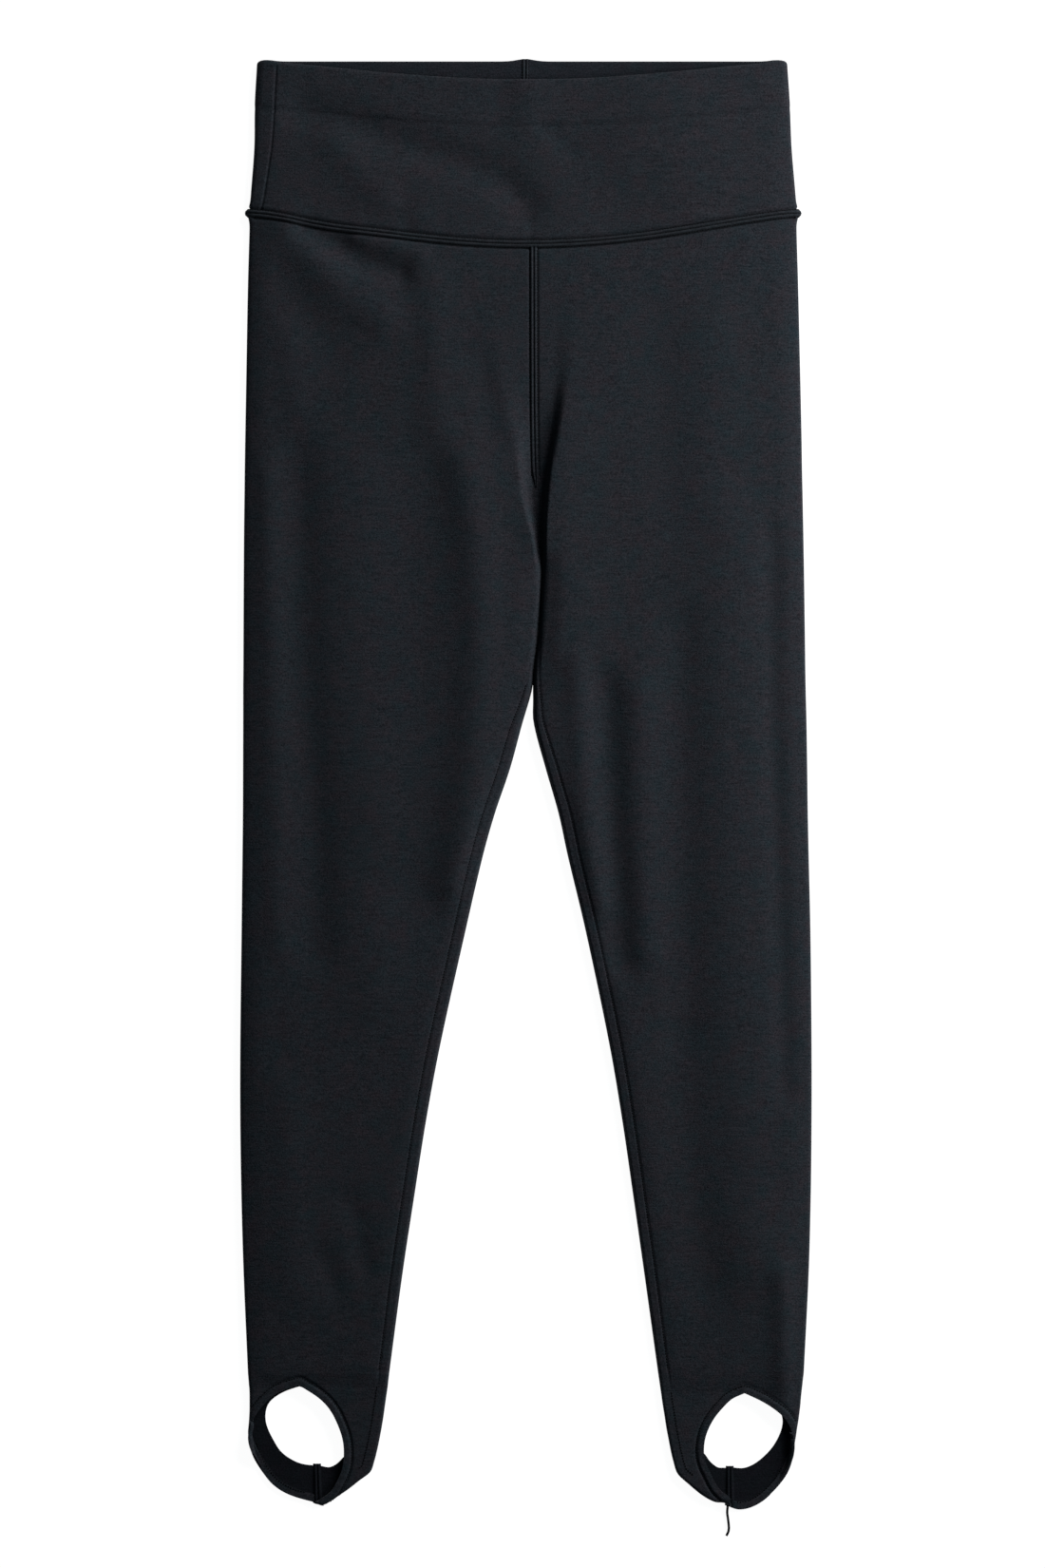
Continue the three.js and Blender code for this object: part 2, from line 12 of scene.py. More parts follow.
import bpy
import numpy as np
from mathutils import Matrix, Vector


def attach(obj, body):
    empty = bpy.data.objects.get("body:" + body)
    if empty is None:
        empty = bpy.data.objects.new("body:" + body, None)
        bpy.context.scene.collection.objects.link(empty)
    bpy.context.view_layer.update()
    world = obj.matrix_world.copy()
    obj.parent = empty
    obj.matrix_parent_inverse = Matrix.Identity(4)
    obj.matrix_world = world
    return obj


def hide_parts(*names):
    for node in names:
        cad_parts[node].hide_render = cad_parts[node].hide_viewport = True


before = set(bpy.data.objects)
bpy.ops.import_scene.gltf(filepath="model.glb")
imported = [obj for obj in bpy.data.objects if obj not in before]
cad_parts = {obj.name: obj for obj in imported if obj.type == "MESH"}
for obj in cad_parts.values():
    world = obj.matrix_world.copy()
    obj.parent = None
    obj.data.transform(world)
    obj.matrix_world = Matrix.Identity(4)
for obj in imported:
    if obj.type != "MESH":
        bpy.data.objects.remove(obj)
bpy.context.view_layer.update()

# %% [markdown]
# ## Places on the garment
#
# A cutter measures a garment down from its waist edge. The tables below do the same: x is millimetres to
# the right of the picture's middle, down is millimetres below the back waist edge, and z is the height
# over the floor. They repeat the values of the CAD source, so each cloth lies where its solid is.

# %% Millimetres to the frame
MM = 0.001
SIDE_SHIFT = 0.009
WAIST_LEVEL = 498.5
BODY = "root"


def to_frame(x, down, z):
    """Points of the garment in metres, in the frame of the CAD model."""
    x, down, z = np.broadcast_arrays(x, down, z)
    return np.stack([x + SIDE_SHIFT, WAIST_LEVEL - down, np.maximum(z, 0)], axis=-1) * MM


def rows_of(columns, rows):
    """A table as one array for each column."""
    return dict(zip(columns, np.array(rows, float).T))


# %% Outline of both legs
OUTLINE = rows_of(
    ["down", "right_outer", "right_inner", "left_inner", "left_outer"],
    [
        [0, -185.3, 5.0, 5.0, 180.0],
        [32, -187.1, 5.0, 5.0, 182.2],
        [60, -187.5, 5.0, 5.0, 183.4],
        [100, -190.4, 5.0, 5.0, 186.6],
        [116, -190.8, 5.0, 5.0, 186.8],
        [155, -191.9, 5.0, 5.0, 187.9],
        [233, -193.3, 5.5, 5.5, 189.7],
        [262, -193.8, 5.9, 5.9, 190.3],
        [282, -194.1, 6.6, 6.6, 190.6],
        [300, -194.3, 9.3, 9.3, 191.0],
        [315, -194.5, 10.6, 10.6, 191.3],
        [336, -194.7, 11.0, 11.0, 191.7],
        [354, -194.8, 11.0, 11.0, 192.0],
        [396, -195.0, 8.4, 8.4, 192.6],
        [421, -195.1, 5.3, 5.3, 192.9],
        [431, -195.2, 4.7, 4.8, 193.1],
        [440, -195.2, 2.6, 4.9, 193.3],
        [456, -195.2, -2.2, 5.2, 193.7],
        [488, -195.3, -10.9, 13.6, 194.2],
        [519, -195.4, -21.4, 22.5, 194.6],
        [548, -195.7, -29.6, 28.8, 195.2],
        [600, -196.3, -41.7, 41.2, 196.4],
        [679, -197.2, -59.2, 57.7, 197.2],
        [731, -197.2, -68.9, 66.5, 197.2],
        [784, -196.4, -77.2, 74.2, 196.6],
        [836, -194.9, -85.1, 81.6, 195.2],
        [905, -191.9, -94.3, 91.2, 191.8],
    ],
)

# %% Levels of the waist
HALF_WAIST = 191
FRONT_TOP_DIP = 13
SEAM_DOWN = 105
FRONT_SEAM_DIP = 21.5
BACK_SEAM_DIP = 6
DIP_POWER = 1.5
LEG_END = 905
CROTCH = 341
CENTRE_X = 5.0
BACK_SEAM_X = -0.4
# Bells, each as a height, the place of its middle and a half width: the hip's sag in the waist seam along
# x, the swell of the outline round that seam, and the back seam's top along x.
HIP_SAG = (1.9, -138, 32)
SEAM_SWELL = (1.5, SEAM_DOWN, 5)
BACK_BUMP = (1.7, BACK_SEAM_X, 8)
# Stretches down the garment, each as a start and a length.
DIP_FADE = (SEAM_DOWN, 155)


def smooth(rows, column, down):
    """A smooth curve through one column of a table."""
    xs, ys = rows["down"], rows[column]
    at = np.clip(np.asarray(down, float), xs[0], xs[-1])
    k = np.clip(np.searchsorted(xs, at, side="right") - 1, 0, len(xs) - 2)
    before, after = np.maximum(np.arange(len(xs)) - 1, 0), np.minimum(np.arange(len(xs)) + 1, len(xs) - 1)
    slope = (ys[after] - ys[before]) / (xs[after] - xs[before])
    span, rise = xs[k + 1] - xs[k], ys[k + 1] - ys[k]
    t = (at - xs[k]) / span
    start, end = slope[k] * span - rise, rise - slope[k + 1] * span
    return ys[k] + t * rise + t * (1 - t) * ((1 - t) * start + t * end)


def ease(distance, reach):
    """From 0 to 1 over a reach, with soft ends."""
    t = np.clip(np.asarray(distance, float) / reach, 0, 1)
    return t * t * (3 - 2 * t)


def passed(down, stretch):
    """From 0 above a stretch of the garment to 1 below it."""
    start, length = stretch
    return ease(down - start, length)


def bell(at, shape):
    """The height of a bell curve at a place."""
    height, middle, half_width = shape
    return height * np.exp(-(((at - middle) / half_width) ** 2))


def outer_edge(side, down):
    """The outer edge of a leg and of the waistband, which swells out at the thick ends of the waist seam."""
    sign = -1 if side == "right" else 1
    return float(smooth(OUTLINE, f"{side}_outer", down) + sign * bell(down, SEAM_SWELL))


def dip(x):
    return np.maximum(0, 1 - (x / HALF_WAIST) ** 2) ** DIP_POWER


def seam_down(x, front):
    """Depth of the waist seam. The folds at the wearer's right hip pull its front down a little."""
    return SEAM_DOWN + np.where(front, dip(x) * FRONT_SEAM_DIP + bell(x, HIP_SAG), dip(x) * BACK_SEAM_DIP)


def top_edge_down(x, front):
    return np.where(front, dip(x) * FRONT_TOP_DIP, -bell(x, BACK_BUMP))


print("waist seam lies", float(seam_down(0.0, True)), "mm down at the front and",
      float(seam_down(0.0, False)), "mm at the back")

# %% [markdown]
# ## Camera, floor and light
#
# The photograph is taken straight from above with a long lens, so the edges show no perspective. The
# floor is a plain pale sweep that the light turns white. The large soft key light stands at the upper
# right. It gives the slopes that face it a soft shine, and leaves a narrow shadow along the garment's
# left edge. A weaker one stands low at the right and draws out the folds that run down the legs.

# %% Camera
CAMERA_PLACE = (-2.36 * MM, -0.2 * MM, 3.0076)
bpy.ops.object.select_all(action="DESELECT")
bpy.ops.object.camera_add(location=CAMERA_PLACE, rotation=(0, 0, 0))
camera = bpy.context.active_object
camera.name = "camera"
camera.data.lens = 100
camera.data.sensor_width = 36
bpy.context.scene.camera = camera

# %% Floor
FLOOR_DOWN = 0.0003  # metres below the cloth, so that the underside's small waves don't dip through it
bpy.ops.mesh.primitive_plane_add(size=8, location=(0, 0, -FLOOR_DOWN))
floor = bpy.context.active_object
floor.name = "floor"

# %% Lights
def soft_light(name, place, size, power):
    """A square area light that faces the garment's middle."""
    bpy.ops.object.light_add(type="AREA", location=place)
    light = bpy.context.active_object
    light.name = name
    light.data.size = size
    light.data.energy = power
    light.rotation_euler = (-Vector(place)).to_track_quat("-Z", "Y").to_euler()


soft_light("key_light", place=(1.15, 1.6, 0.9), size=0.7, power=44.5)
soft_light("side_light", place=(1.15, 0.2, 0.5), size=0.5, power=16)
world = bpy.data.worlds.new("studio")
bpy.context.scene.world = world
world.use_nodes = True
sky = world.node_tree.nodes["Background"].inputs
sky["Color"].default_value = (0.75, 0.95, 1.1, 1)
sky["Strength"].default_value = 0.085
bpy.context.scene.view_settings.view_transform = "Standard"
print("camera, floor and light stand")

# %% [markdown]
# ## The lie of the cloth
#
# Laid cloth isn't flat: it keeps soft troughs and ridges where it was held, worn and folded. Each crease
# here is a line of points on the garment, with a half width and a height in millimetres. A cloth
# simulation would put creases anywhere, so they are placed where the photograph shows them. The
# underside gets a few of its own, which lift the cloth a little off the floor.

# %% Creases of the front
CREASES = [
    # waistband
    ([(-152, 35), (-123, 43), (-94, 54), (-68, 63), (-40, 73), (-15, 84), (-1, 99)], 13, -1.9),
    ([(-132, 56), (-110, 84), (-80, 104)], 12, 0.9),
    ([(-83, 94), (-81, 114)], 8, -0.7),
    ([(-17, 13), (-17, 38)], 12, -0.5),
    ([(0, 16), (2, 46)], 16, 0.6),
    ([(14, 45), (30, 62)], 7, -0.5),
    ([(96, 40), (125, 92)], 44, 1.1),
    ([(37, 63), (63, 99)], 20, -0.5),
    # hips
    ([(-152, 117), (-137, 125), (-114, 138), (-88, 147)], 9, -2.0),
    ([(-116, 122), (-96, 128), (-74, 133)], 7, 0.9),
    ([(-161, 118), (-144, 140), (-126, 160), (-99, 178)], 15, 1.6),
    ([(-166, 155), (-150, 181), (-133, 207)], 13, -0.5),
    ([(-166, 187), (-158, 240)], 10, 0.5),
    ([(-65, 155), (-60, 253)], 14, 0.9),
    ([(-32, 207), (-25, 253)], 9, -0.5),
    ([(129, 187), (130, 299)], 22, 0.7),
    ([(89, 174), (96, 299)], 18, -0.5),
    # right leg
    ([(-42, 290), (-46, 400), (-60, 520)], 44, 1.5),
    ([(-158, 273), (-156, 351), (-152, 450), (-147, 515), (-145, 613)], 14, -1.1),
    ([(-123, 286), (-119, 417), (-110, 515), (-107, 640)], 26, 0.9),
    ([(-71, 286), (-69, 417), (-71, 535), (-77, 567)], 26, -1.1),
    ([(-43, 279), (-35, 325), (-31, 377), (-33, 430), (-36, 482), (-42, 522), (-50, 567)], 15, 1.5),
    ([(-177, 286), (-174, 417), (-171, 613)], 9, 0.6),
    ([(-123, 787), (-116, 800)], 9, -0.6),
    ([(-140, 826), (-132, 846)], 9, -0.6),
    ([(-114, 817), (-110, 833)], 8, -0.6),
    ([(-166, 712), (-162, 843)], 15, 0.7),
    # left leg
    ([(22, 250), (24, 330), (27, 400)], 26, 1.3),
    ([(35, 417), (40, 495), (50, 581)], 10, 1.1),
    ([(55, 430), (57, 495), (63, 587), (66, 620)], 12, -1.5),
    ([(78, 436), (78, 522), (81, 613)], 13, 1.0),
    ([(106, 391), (106, 482), (110, 666)], 16, -1.0),
    ([(138, 325), (140, 417), (143, 515), (147, 613), (151, 744), (155, 830)], 26, 1.4),
    ([(169, 325), (171, 482), (176, 613), (179, 712)], 8, -0.8),
    ([(104, 679), (114, 771), (122, 843)], 17, -0.8),
    ([(177, 835), (178, 880), (179.5, 912), (177, 930)], 9, 1.3),
    ([(162, 820), (165, 880)], 28, 0.6),
]

# %% Creases of the underside
BACK_CREASES = [
    ([(-150, 130), (-90, 175)], 12, 1.0),
    ([(140, 128), (70, 180)], 11, 0.9),
    ([(-60, 20), (40, 60)], 12, 0.7),
    ([(-110, 260), (-104, 520)], 18, 0.9),
    ([(-40, 300), (-48, 520)], 12, 0.7),
    ([(70, 280), (84, 560)], 15, 0.9),
    ([(150, 330), (148, 600)], 14, 0.7),
    ([(-150, 600), (-140, 800)], 14, 0.6),
    ([(130, 640), (140, 820)], 13, 0.6),
]

# %% How the thighs sink to the valley between them
# Above the crotch the front sinks from a crest on each thigh to the valley's bottom, right beside the seam.
# The bottom reaches from the foot of the right thigh's slope to where the left thigh rises.
VALLEY = rows_of(
    ["down", "bottom", "right_foot", "right_crest", "left_crest", "sunk"],
    [
        [140, 18, 18, -32, 36, 0],
        [180, 19, 17, -28, 33, 0.12],
        [215, 20, 14, -21, 30, 0.32],
        [240, 19, 10, -15, 26, 0.68],
        [261, 16.5, 8.5, -9, 22, 0.93],
        [276, 14, 7.5, -7, 19, 1],
        [290, 12.2, 6.8, -5, 17, 1],
        [302, 11.5, 7, -3.5, 15.8, 1],
        [315, 11.2, 8.4, 0, 14.8, 1],
        [330, 11.2, 10, 4, 14.4, 1],
        [345, 11, 10.4, 6, 14, 1],
    ],
)
# Below it each leg is a tube. How round its inner edge is, and how full the thigh is there.
INNER_EDGE = rows_of(
    ["down", "round", "full"],
    [[330, 6, 1], [400, 5.5, 1], [440, 4.5, 0.9], [480, 3.6, 0.7], [560, 3, 0.45], [905, 2.6, 0.3]],
)
LAID_HEIGHT = 4.6
FOLD_RADIUS = LAID_HEIGHT / 2
VALLEY_FLOOR = 2.2
VALLEY_SLOPE_POWER = 1.4
RELIEF = 1.6
EDGE_FADE = 18
INNER_FADE = 17
FLOOR_INNER_FADE = 12
# The crown is how far the middle stands above the edges. Shares of it are left at the waist and ankles.
CROWN = 2.6
WAIST_CROWN = 0.6
ANKLE_CROWN = 0.45
HIP = (100, 60)
CALF = (650, 300)
CLOSING = (330, 24)


def distance_to_line(x, down, points):
    """Distances from points on the garment to a line through others."""
    nearest = np.full(np.broadcast(x, down).shape, np.inf)
    for (x0, down0), (x1, down1) in zip(points, points[1:]):
        along_x, along_down = x1 - x0, down1 - down0
        share = ((x - x0) * along_x + (down - down0) * along_down) / (along_x**2 + along_down**2)
        share = np.clip(share, 0, 1)
        gap = np.hypot(x - x0 - share * along_x, down - down0 - share * along_down)
        nearest = np.minimum(nearest, gap)
    return nearest


def crease_heights(x, down, creases):
    """The sum of all creases at points, each a soft line that fades at its ends."""
    return sum(
        bell(distance_to_line(x, down, points), (height, 0, half_width))
        for points, half_width, height in creases
    )


def edges_at(x, down):
    """Distances of points to the outer and the inner edge of their own leg."""
    right = x < smooth(OUTLINE, "right_inner", down)
    outer = np.where(right, smooth(OUTLINE, "right_outer", down), smooth(OUTLINE, "left_outer", down))
    inner = np.where(right, smooth(OUTLINE, "right_inner", down), smooth(OUTLINE, "left_inner", down))
    return np.abs(x - outer), np.abs(x - inner)


def top_height(x, down):
    """Height of the outer face of the upper layer."""
    outer, inner = edges_at(x, down)
    crown = CROWN * (WAIST_CROWN + (1 - WAIST_CROWN) * passed(down, HIP))
    crown = crown * (1 - (1 - ANKLE_CROWN) * passed(down, CALF))
    creases = RELIEF * crease_heights(x, down, CREASES)
    # Above the crotch: one cloth with a valley.
    edge = 1 - (1 - np.clip(outer / EDGE_FADE, 0, 1)) ** 2
    full = LAID_HEIGHT + edge * (crown + creases)
    bottom, foot = smooth(VALLEY, "bottom", down), smooth(VALLEY, "right_foot", down)
    right_reach = (foot - x) / (foot - smooth(VALLEY, "right_crest", down))
    left_reach = (x - bottom) / (smooth(VALLEY, "left_crest", down) - bottom)
    right_rise = ease(np.clip(right_reach, 0, 1) ** VALLEY_SLOPE_POWER, 1)
    low = full + smooth(VALLEY, "sunk", down) * (VALLEY_FLOOR - full)
    valley = low + (full - low) * np.where(x < bottom, right_rise, ease(left_reach, 1))
    # Below it: a tube with a rounded inner edge.
    inside = ease(inner, INNER_FADE)
    thigh = inside + (1 - inside) * smooth(INNER_EDGE, "full", down)
    full = LAID_HEIGHT + edge * (crown * thigh + creases * inside)
    turn = np.clip(inner / smooth(INNER_EDGE, "round", down), 0, 1)
    tube = FOLD_RADIUS + (full - FOLD_RADIUS) * np.sqrt(1 - (1 - turn) ** 2)
    return valley + passed(down, CLOSING) * (tube - valley)


def floor_lift(x, down):
    """How far the lower layer is lifted off the floor by the creases of the underside."""
    outer, inner = edges_at(x, down)
    return ease(outer, EDGE_FADE) * ease(inner, FLOOR_INNER_FADE) * crease_heights(x, down, BACK_CREASES)


print(len(CREASES), "creases on the front,", len(BACK_CREASES), "on the underside")

# %% [markdown]
# ## Making cloth from rows of points
#
# A cutter thinks of a leg as a tube: rows of knit that run round it, one below the other. So a cloth here
# is a grid of points, one row for each level, and the faces join neighbouring rows. Edges that are sewn
# share their place, so merging doubles joins them, and the Solidify modifier then gives the cloth its
# thickness.

# %% A flattened tube's section
FLAT = 0.9999


def stops_of(first, second, height):
    """Distances to where the top ends, where the floor starts and all the way round."""
    quarter, flat = math.pi / 4 * height, abs(second - first) - height
    return quarter + flat, quarter + flat + 2 * quarter, 2 * flat + 4 * quarter


def section(first, second, height, distances):
    """Points and outward directions at distances round a flat laid tube.

    They go over the top, round the second fold and back along the floor.
    """
    sign = 1 if second > first else -1
    width, radius = abs(second - first), height / 2
    quarter = math.pi / 2 * radius
    top_end, floor_start, length = stops_of(first, second, height)
    s = np.mod(np.asarray(distances, float), length)
    s = np.where(np.isclose(distances, length), length, s)
    near = np.where(s > length - quarter, s - length, s) / radius
    far = (s - top_end) / radius
    fold_1 = (s < quarter) | (s > length - quarter)
    fold_2 = (s > top_end) & (s < floor_start)
    floor_part = ~fold_1 & ~fold_2 & (s >= floor_start)
    normal_x = np.select([fold_1, fold_2], [-np.cos(near), np.sin(far)], 0)
    normal_z = np.select([fold_1, fold_2, floor_part], [np.sin(near), np.cos(far), -1], 1)
    reach = np.select(
        [fold_1, fold_2, floor_part],
        [radius * (1 + normal_x), width - radius * (1 - normal_x), radius + length - quarter - s],
        radius + s - quarter,
    )
    return first + sign * reach, radius * (1 + normal_z), sign * normal_x, normal_z


def flat_parts(normal_z):
    """Which points of a section lie on its flat top, and which on its flat floor."""
    return normal_z > FLAT, normal_z < -FLAT


def lengths_along(points):
    """How far along a line each of its points lies."""
    gaps = np.linalg.norm(np.diff(points, axis=0), axis=1)
    return np.concatenate([[0], np.cumsum(gaps)])


def spread(stops, steps):
    """Evenly spaced numbers through each stop, without doubling the stops."""
    parts = [np.linspace(a, b, n, endpoint=False) for a, b, n in zip(stops, stops[1:], steps)]
    return np.concatenate([*parts, [stops[-1]]])


# %% Grids to a mesh
MERGE_DISTANCE = 0.01 * MM
SHARP_ANGLE = math.radians(50)
LEAST_HEM = 0.001
HEM_SHOWS_FROM = 0.4


def pick(piece):
    """Makes one piece the only one that operators act on."""
    bpy.ops.object.select_all(action="DESELECT")
    piece.select_set(True)
    bpy.context.view_layer.objects.active = piece


def new_piece(name, data):
    """A new object of a mesh or curve, picked."""
    piece = bpy.data.objects.new(name, data)
    bpy.context.collection.objects.link(piece)
    pick(piece)
    return piece


def edit_all(operator, **settings):
    """Runs one operator on the whole of the picked piece in edit mode."""
    bpy.ops.object.mode_set(mode="EDIT")
    bpy.ops.mesh.select_all(action="SELECT")
    operator(**settings)
    bpy.ops.object.mode_set(mode="OBJECT")


def cloth_from_grids(name, grids, flips, hems=None, reverse_from=None):
    """One mesh from grids of points in metres, with the edges that meet joined.

    hems holds the share of turned hem at each point. The faces from row reverse_from on are the reverse of
    the cloth and get the second material, whose darker colour is painted shade.
    """
    faces = []
    base = 0
    for grid, flip in zip(grids, flips):
        rows, columns = grid.shape[:2]
        i, j = np.meshgrid(np.arange(rows - 1), np.arange(columns - 1), indexing="ij")
        a = (base + i * columns + j).reshape(-1)
        quads = np.stack([a, a + columns, a + columns + 1, a + 1], axis=1)
        faces.append(quads[:, ::-1] if flip else quads)
        base += rows * columns
    mesh = bpy.data.meshes.new(name)
    points = np.concatenate([grid.reshape(-1, 3) for grid in grids])
    mesh.from_pydata(points.tolist(), [], np.concatenate(faces).tolist())
    mesh.materials.append(None)
    mesh.materials.append(None)
    if reverse_from:
        for face in mesh.polygons[reverse_from * (grids[0].shape[1] - 1):]:
            face.material_index = 1
    piece = new_piece(name, mesh)
    if hems:
        group = piece.vertex_groups.new(name="hem")
        shares = np.concatenate([hem.reshape(-1) for hem in hems])
        for index in np.flatnonzero(shares > LEAST_HEM):
            group.add([int(index)], float(shares[index]), "REPLACE")
    edit_all(bpy.ops.mesh.remove_doubles, threshold=MERGE_DISTANCE)
    return piece


def show_turned_hem(piece):
    """A hem is turned inwards, so on the reverse it shows the face of the cloth again, with the face's colour
    and none of the reverse's painted shade.
    """
    hem = [sum(entry.weight for entry in vertex.groups) for vertex in piece.data.vertices]
    for face in piece.data.polygons:
        if face.material_index == 1 and min(hem[k] for k in face.vertices) > HEM_SHOWS_FROM:
            face.material_index = 0


def shade(piece):
    """Smooth shading that leaves sharp edges sharp."""
    bpy.ops.object.shade_smooth()
    bpy.ops.object.shade_smooth_by_angle(angle=SHARP_ANGLE)
    print(piece.name, len(piece.data.polygons), "faces")


def thicken(piece, thickness, hem_thickness=None):
    """Gives a cloth its thickness, inwards from its outer face; the reverse gets the second material, which
    on the legs is darker with painted shade.
    """
    pick(piece)
    wall = piece.modifiers.new("thickness", "SOLIDIFY")
    wall.offset = -1
    wall.thickness = (hem_thickness or thickness) * MM
    if hem_thickness:
        wall.vertex_group = "hem"
        wall.thickness_vertex_group = thickness / hem_thickness
    wall.material_offset = 1
    bpy.ops.object.modifier_apply(modifier=wall.name)
    if hem_thickness:
        show_turned_hem(piece)
    shade(piece)


# %% [markdown]
# ## Straps under the feet
#
# Each strap is cut in one with its leg. The hem is cut away over the instep and at the heel, and what is
# left runs under the foot, where its two halves are sewn together. The cloth twists from folded double at
# the ankle to a single layer under the foot, with its inner face up. A station gives a place along one
# half as x and down of its toe edge, its fold and its heel edge, then the angle that the cloth is folded
# over at the outline.

# %% Stations of the straps
STRAPS = {
    "right_outer": [
        [-156.4, 913.2, -191.2, 913.5, -156.4, 914.5, 180],
        [-170.5, 917.9, -190.8, 921.0, -166.8, 917.9, 180],
        [-177.6, 923.3, -190.8, 927.9, -175.3, 923.3, 180],
        [-183.2, 929.5, -191.0, 933.0, -178.4, 927.5, 180],
        [-187.2, 935.0, -191.3, 938.0, -179.8, 932.5, 165],
        [-190.0, 941.5, -191.8, 943.5, -179.8, 938.5, 125],
        [-191.9, 949.0, -191.9, 949.0, -177.8, 945.0, 75],
        [-189.9, 958.0, -189.9, 958.0, -173.6, 953.0, 25],
        [-186.0, 967.4, -186.0, 967.4, -169.5, 959.5, 0],
        [-177.2, 980.3, -177.2, 980.3, -162.5, 964.8, 0],
        [-164.5, 989.2, -164.5, 989.2, -154.5, 968.3, 0],
        [-145.0, 994.6, -145.0, 994.6, -145.0, 969.2, 0],
    ],
    "right_inner": [
        [-156.4, 913.2, -95.4, 914.8, -156.4, 914.5, 180],
        [-142.1, 922.7, -97.1, 926.6, -138.0, 921.4, 180],
        [-135.0, 930.5, -98.7, 937.7, -129.5, 929.9, 180],
        [-129.5, 941.3, -100.7, 948.9, -123.6, 940.3, 180],
        [-126.5, 950.6, -102.6, 958.0, -121.0, 949.5, 180],
        [-125.6, 959.1, -104.6, 965.9, -121.6, 958.0, 180],
        [-126.5, 969.9, -107.2, 973.1, -127.2, 964.6, 180],
        [-130.1, 979.0, -115.1, 979.4, -131.4, 968.5, 180],
        [-135.0, 986.9, -124.8, 986.9, -136.0, 970.4, 180],
        [-142.2, 992.0, -140.4, 996.4, -142.2, 969.4, 150],
        [-145.0, 993.6, -144.0, 995.4, -145.0, 969.2, 120],
    ],
    "left_outer": [
        [150.7, 918.7, 190.2, 918.7, 150.7, 917.5, 180],
        [164.1, 924.9, 189.4, 927.9, 166.8, 924.0, 180],
        [175.0, 932.3, 188.5, 936.0, 173.8, 929.6, 180],
        [180.0, 937.8, 187.4, 942.4, 177.1, 935.5, 165],
        [183.4, 944.5, 186.6, 949.0, 177.0, 942.5, 125],
        [185.6, 954.0, 185.6, 955.5, 174.2, 950.0, 75],
        [183.9, 964.8, 183.9, 964.8, 170.4, 956.4, 25],
        [179.2, 977.0, 179.2, 977.0, 165.4, 962.0, 0],
        [167.0, 991.2, 167.0, 991.2, 158.2, 967.9, 0],
        [156.0, 997.9, 156.0, 997.9, 150.5, 971.1, 0],
        [146.5, 999.6, 146.5, 999.6, 144.9, 970.8, 0],
        [140.8, 997.6, 140.8, 997.6, 141.0, 970.4, 0],
    ],
    "left_inner": [
        [150.7, 918.7, 93.2, 918.7, 150.7, 917.5, 180],
        [142.1, 922.7, 94.3, 926.6, 139.2, 921.4, 180],
        [135.9, 928.6, 95.6, 934.5, 131.3, 927.9, 180],
        [130.0, 935.8, 96.9, 943.0, 125.4, 935.8, 180],
        [125.8, 943.6, 98.4, 950.8, 120.8, 943.6, 180],
        [123.5, 950.8, 99.9, 958.7, 118.9, 951.5, 180],
        [122.8, 959.4, 101.8, 966.5, 119.5, 958.0, 180],
        [124.1, 966.9, 104.5, 974.4, 123.5, 961.3, 180],
        [128.0, 975.4, 112.0, 981.6, 127.4, 966.6, 180],
        [132.6, 983.9, 122.8, 990.3, 132.6, 970.5, 180],
        [136.0, 987.4, 130.8, 994.2, 136.0, 970.8, 178],
        [138.8, 989.5, 137.0, 994.8, 138.6, 970.8, 170],
        [141.4, 992.0, 140.8, 997.4, 141.4, 970.6, 150],
    ],
}
# The middle of the space inside each strap.
HOLES = {"right": np.array([-157.0, 941.0]), "left": np.array([151.0, 950.0])}
SAME_PLACE = 0.01


def route(points, t):
    """A smooth curve through points, spaced by their distances, at a share of its length."""
    points = np.asarray(points, float)
    last = len(points) - 1
    k = min(int(t * last), last - 1)
    weight = t * last - k
    p1, p2 = points[k], points[k + 1]
    p0 = points[k - 1] if k > 0 else 2 * points[0] - points[1]
    p3 = points[k + 2] if k + 2 <= last else 2 * points[last] - points[last - 1]
    step = [float(np.linalg.norm(b - a)) ** 0.5 for a, b in ((p0, p1), (p1, p2), (p2, p3))]
    if step[1] < SAME_PLACE:
        step[1] = 1.0
    step = [s if s > SAME_PLACE else step[1] for s in step]
    out = ((p1 - p0) / step[0] - (p2 - p0) / (step[0] + step[1]) + (p2 - p1) / step[1]) * step[1]
    into = ((p2 - p1) / step[1] - (p3 - p1) / (step[1] + step[2]) + (p3 - p2) / step[2]) * step[1]
    cubic = 2 * p1 - 2 * p2 + out + into
    square = -3 * p1 + 3 * p2 - 2 * out - into
    return p1 + weight * (out + weight * (square + weight * cubic))


# %% One row across a strap
STRAP_FADE = 9.0
HEM_WIDTH = 4.8
HEM_STEP = 1.0


def hem_share(distance):
    """1 on the turned hem, with a step down to 0 where its stitches hold it."""
    return 1 - ease(distance - HEM_WIDTH, HEM_STEP)


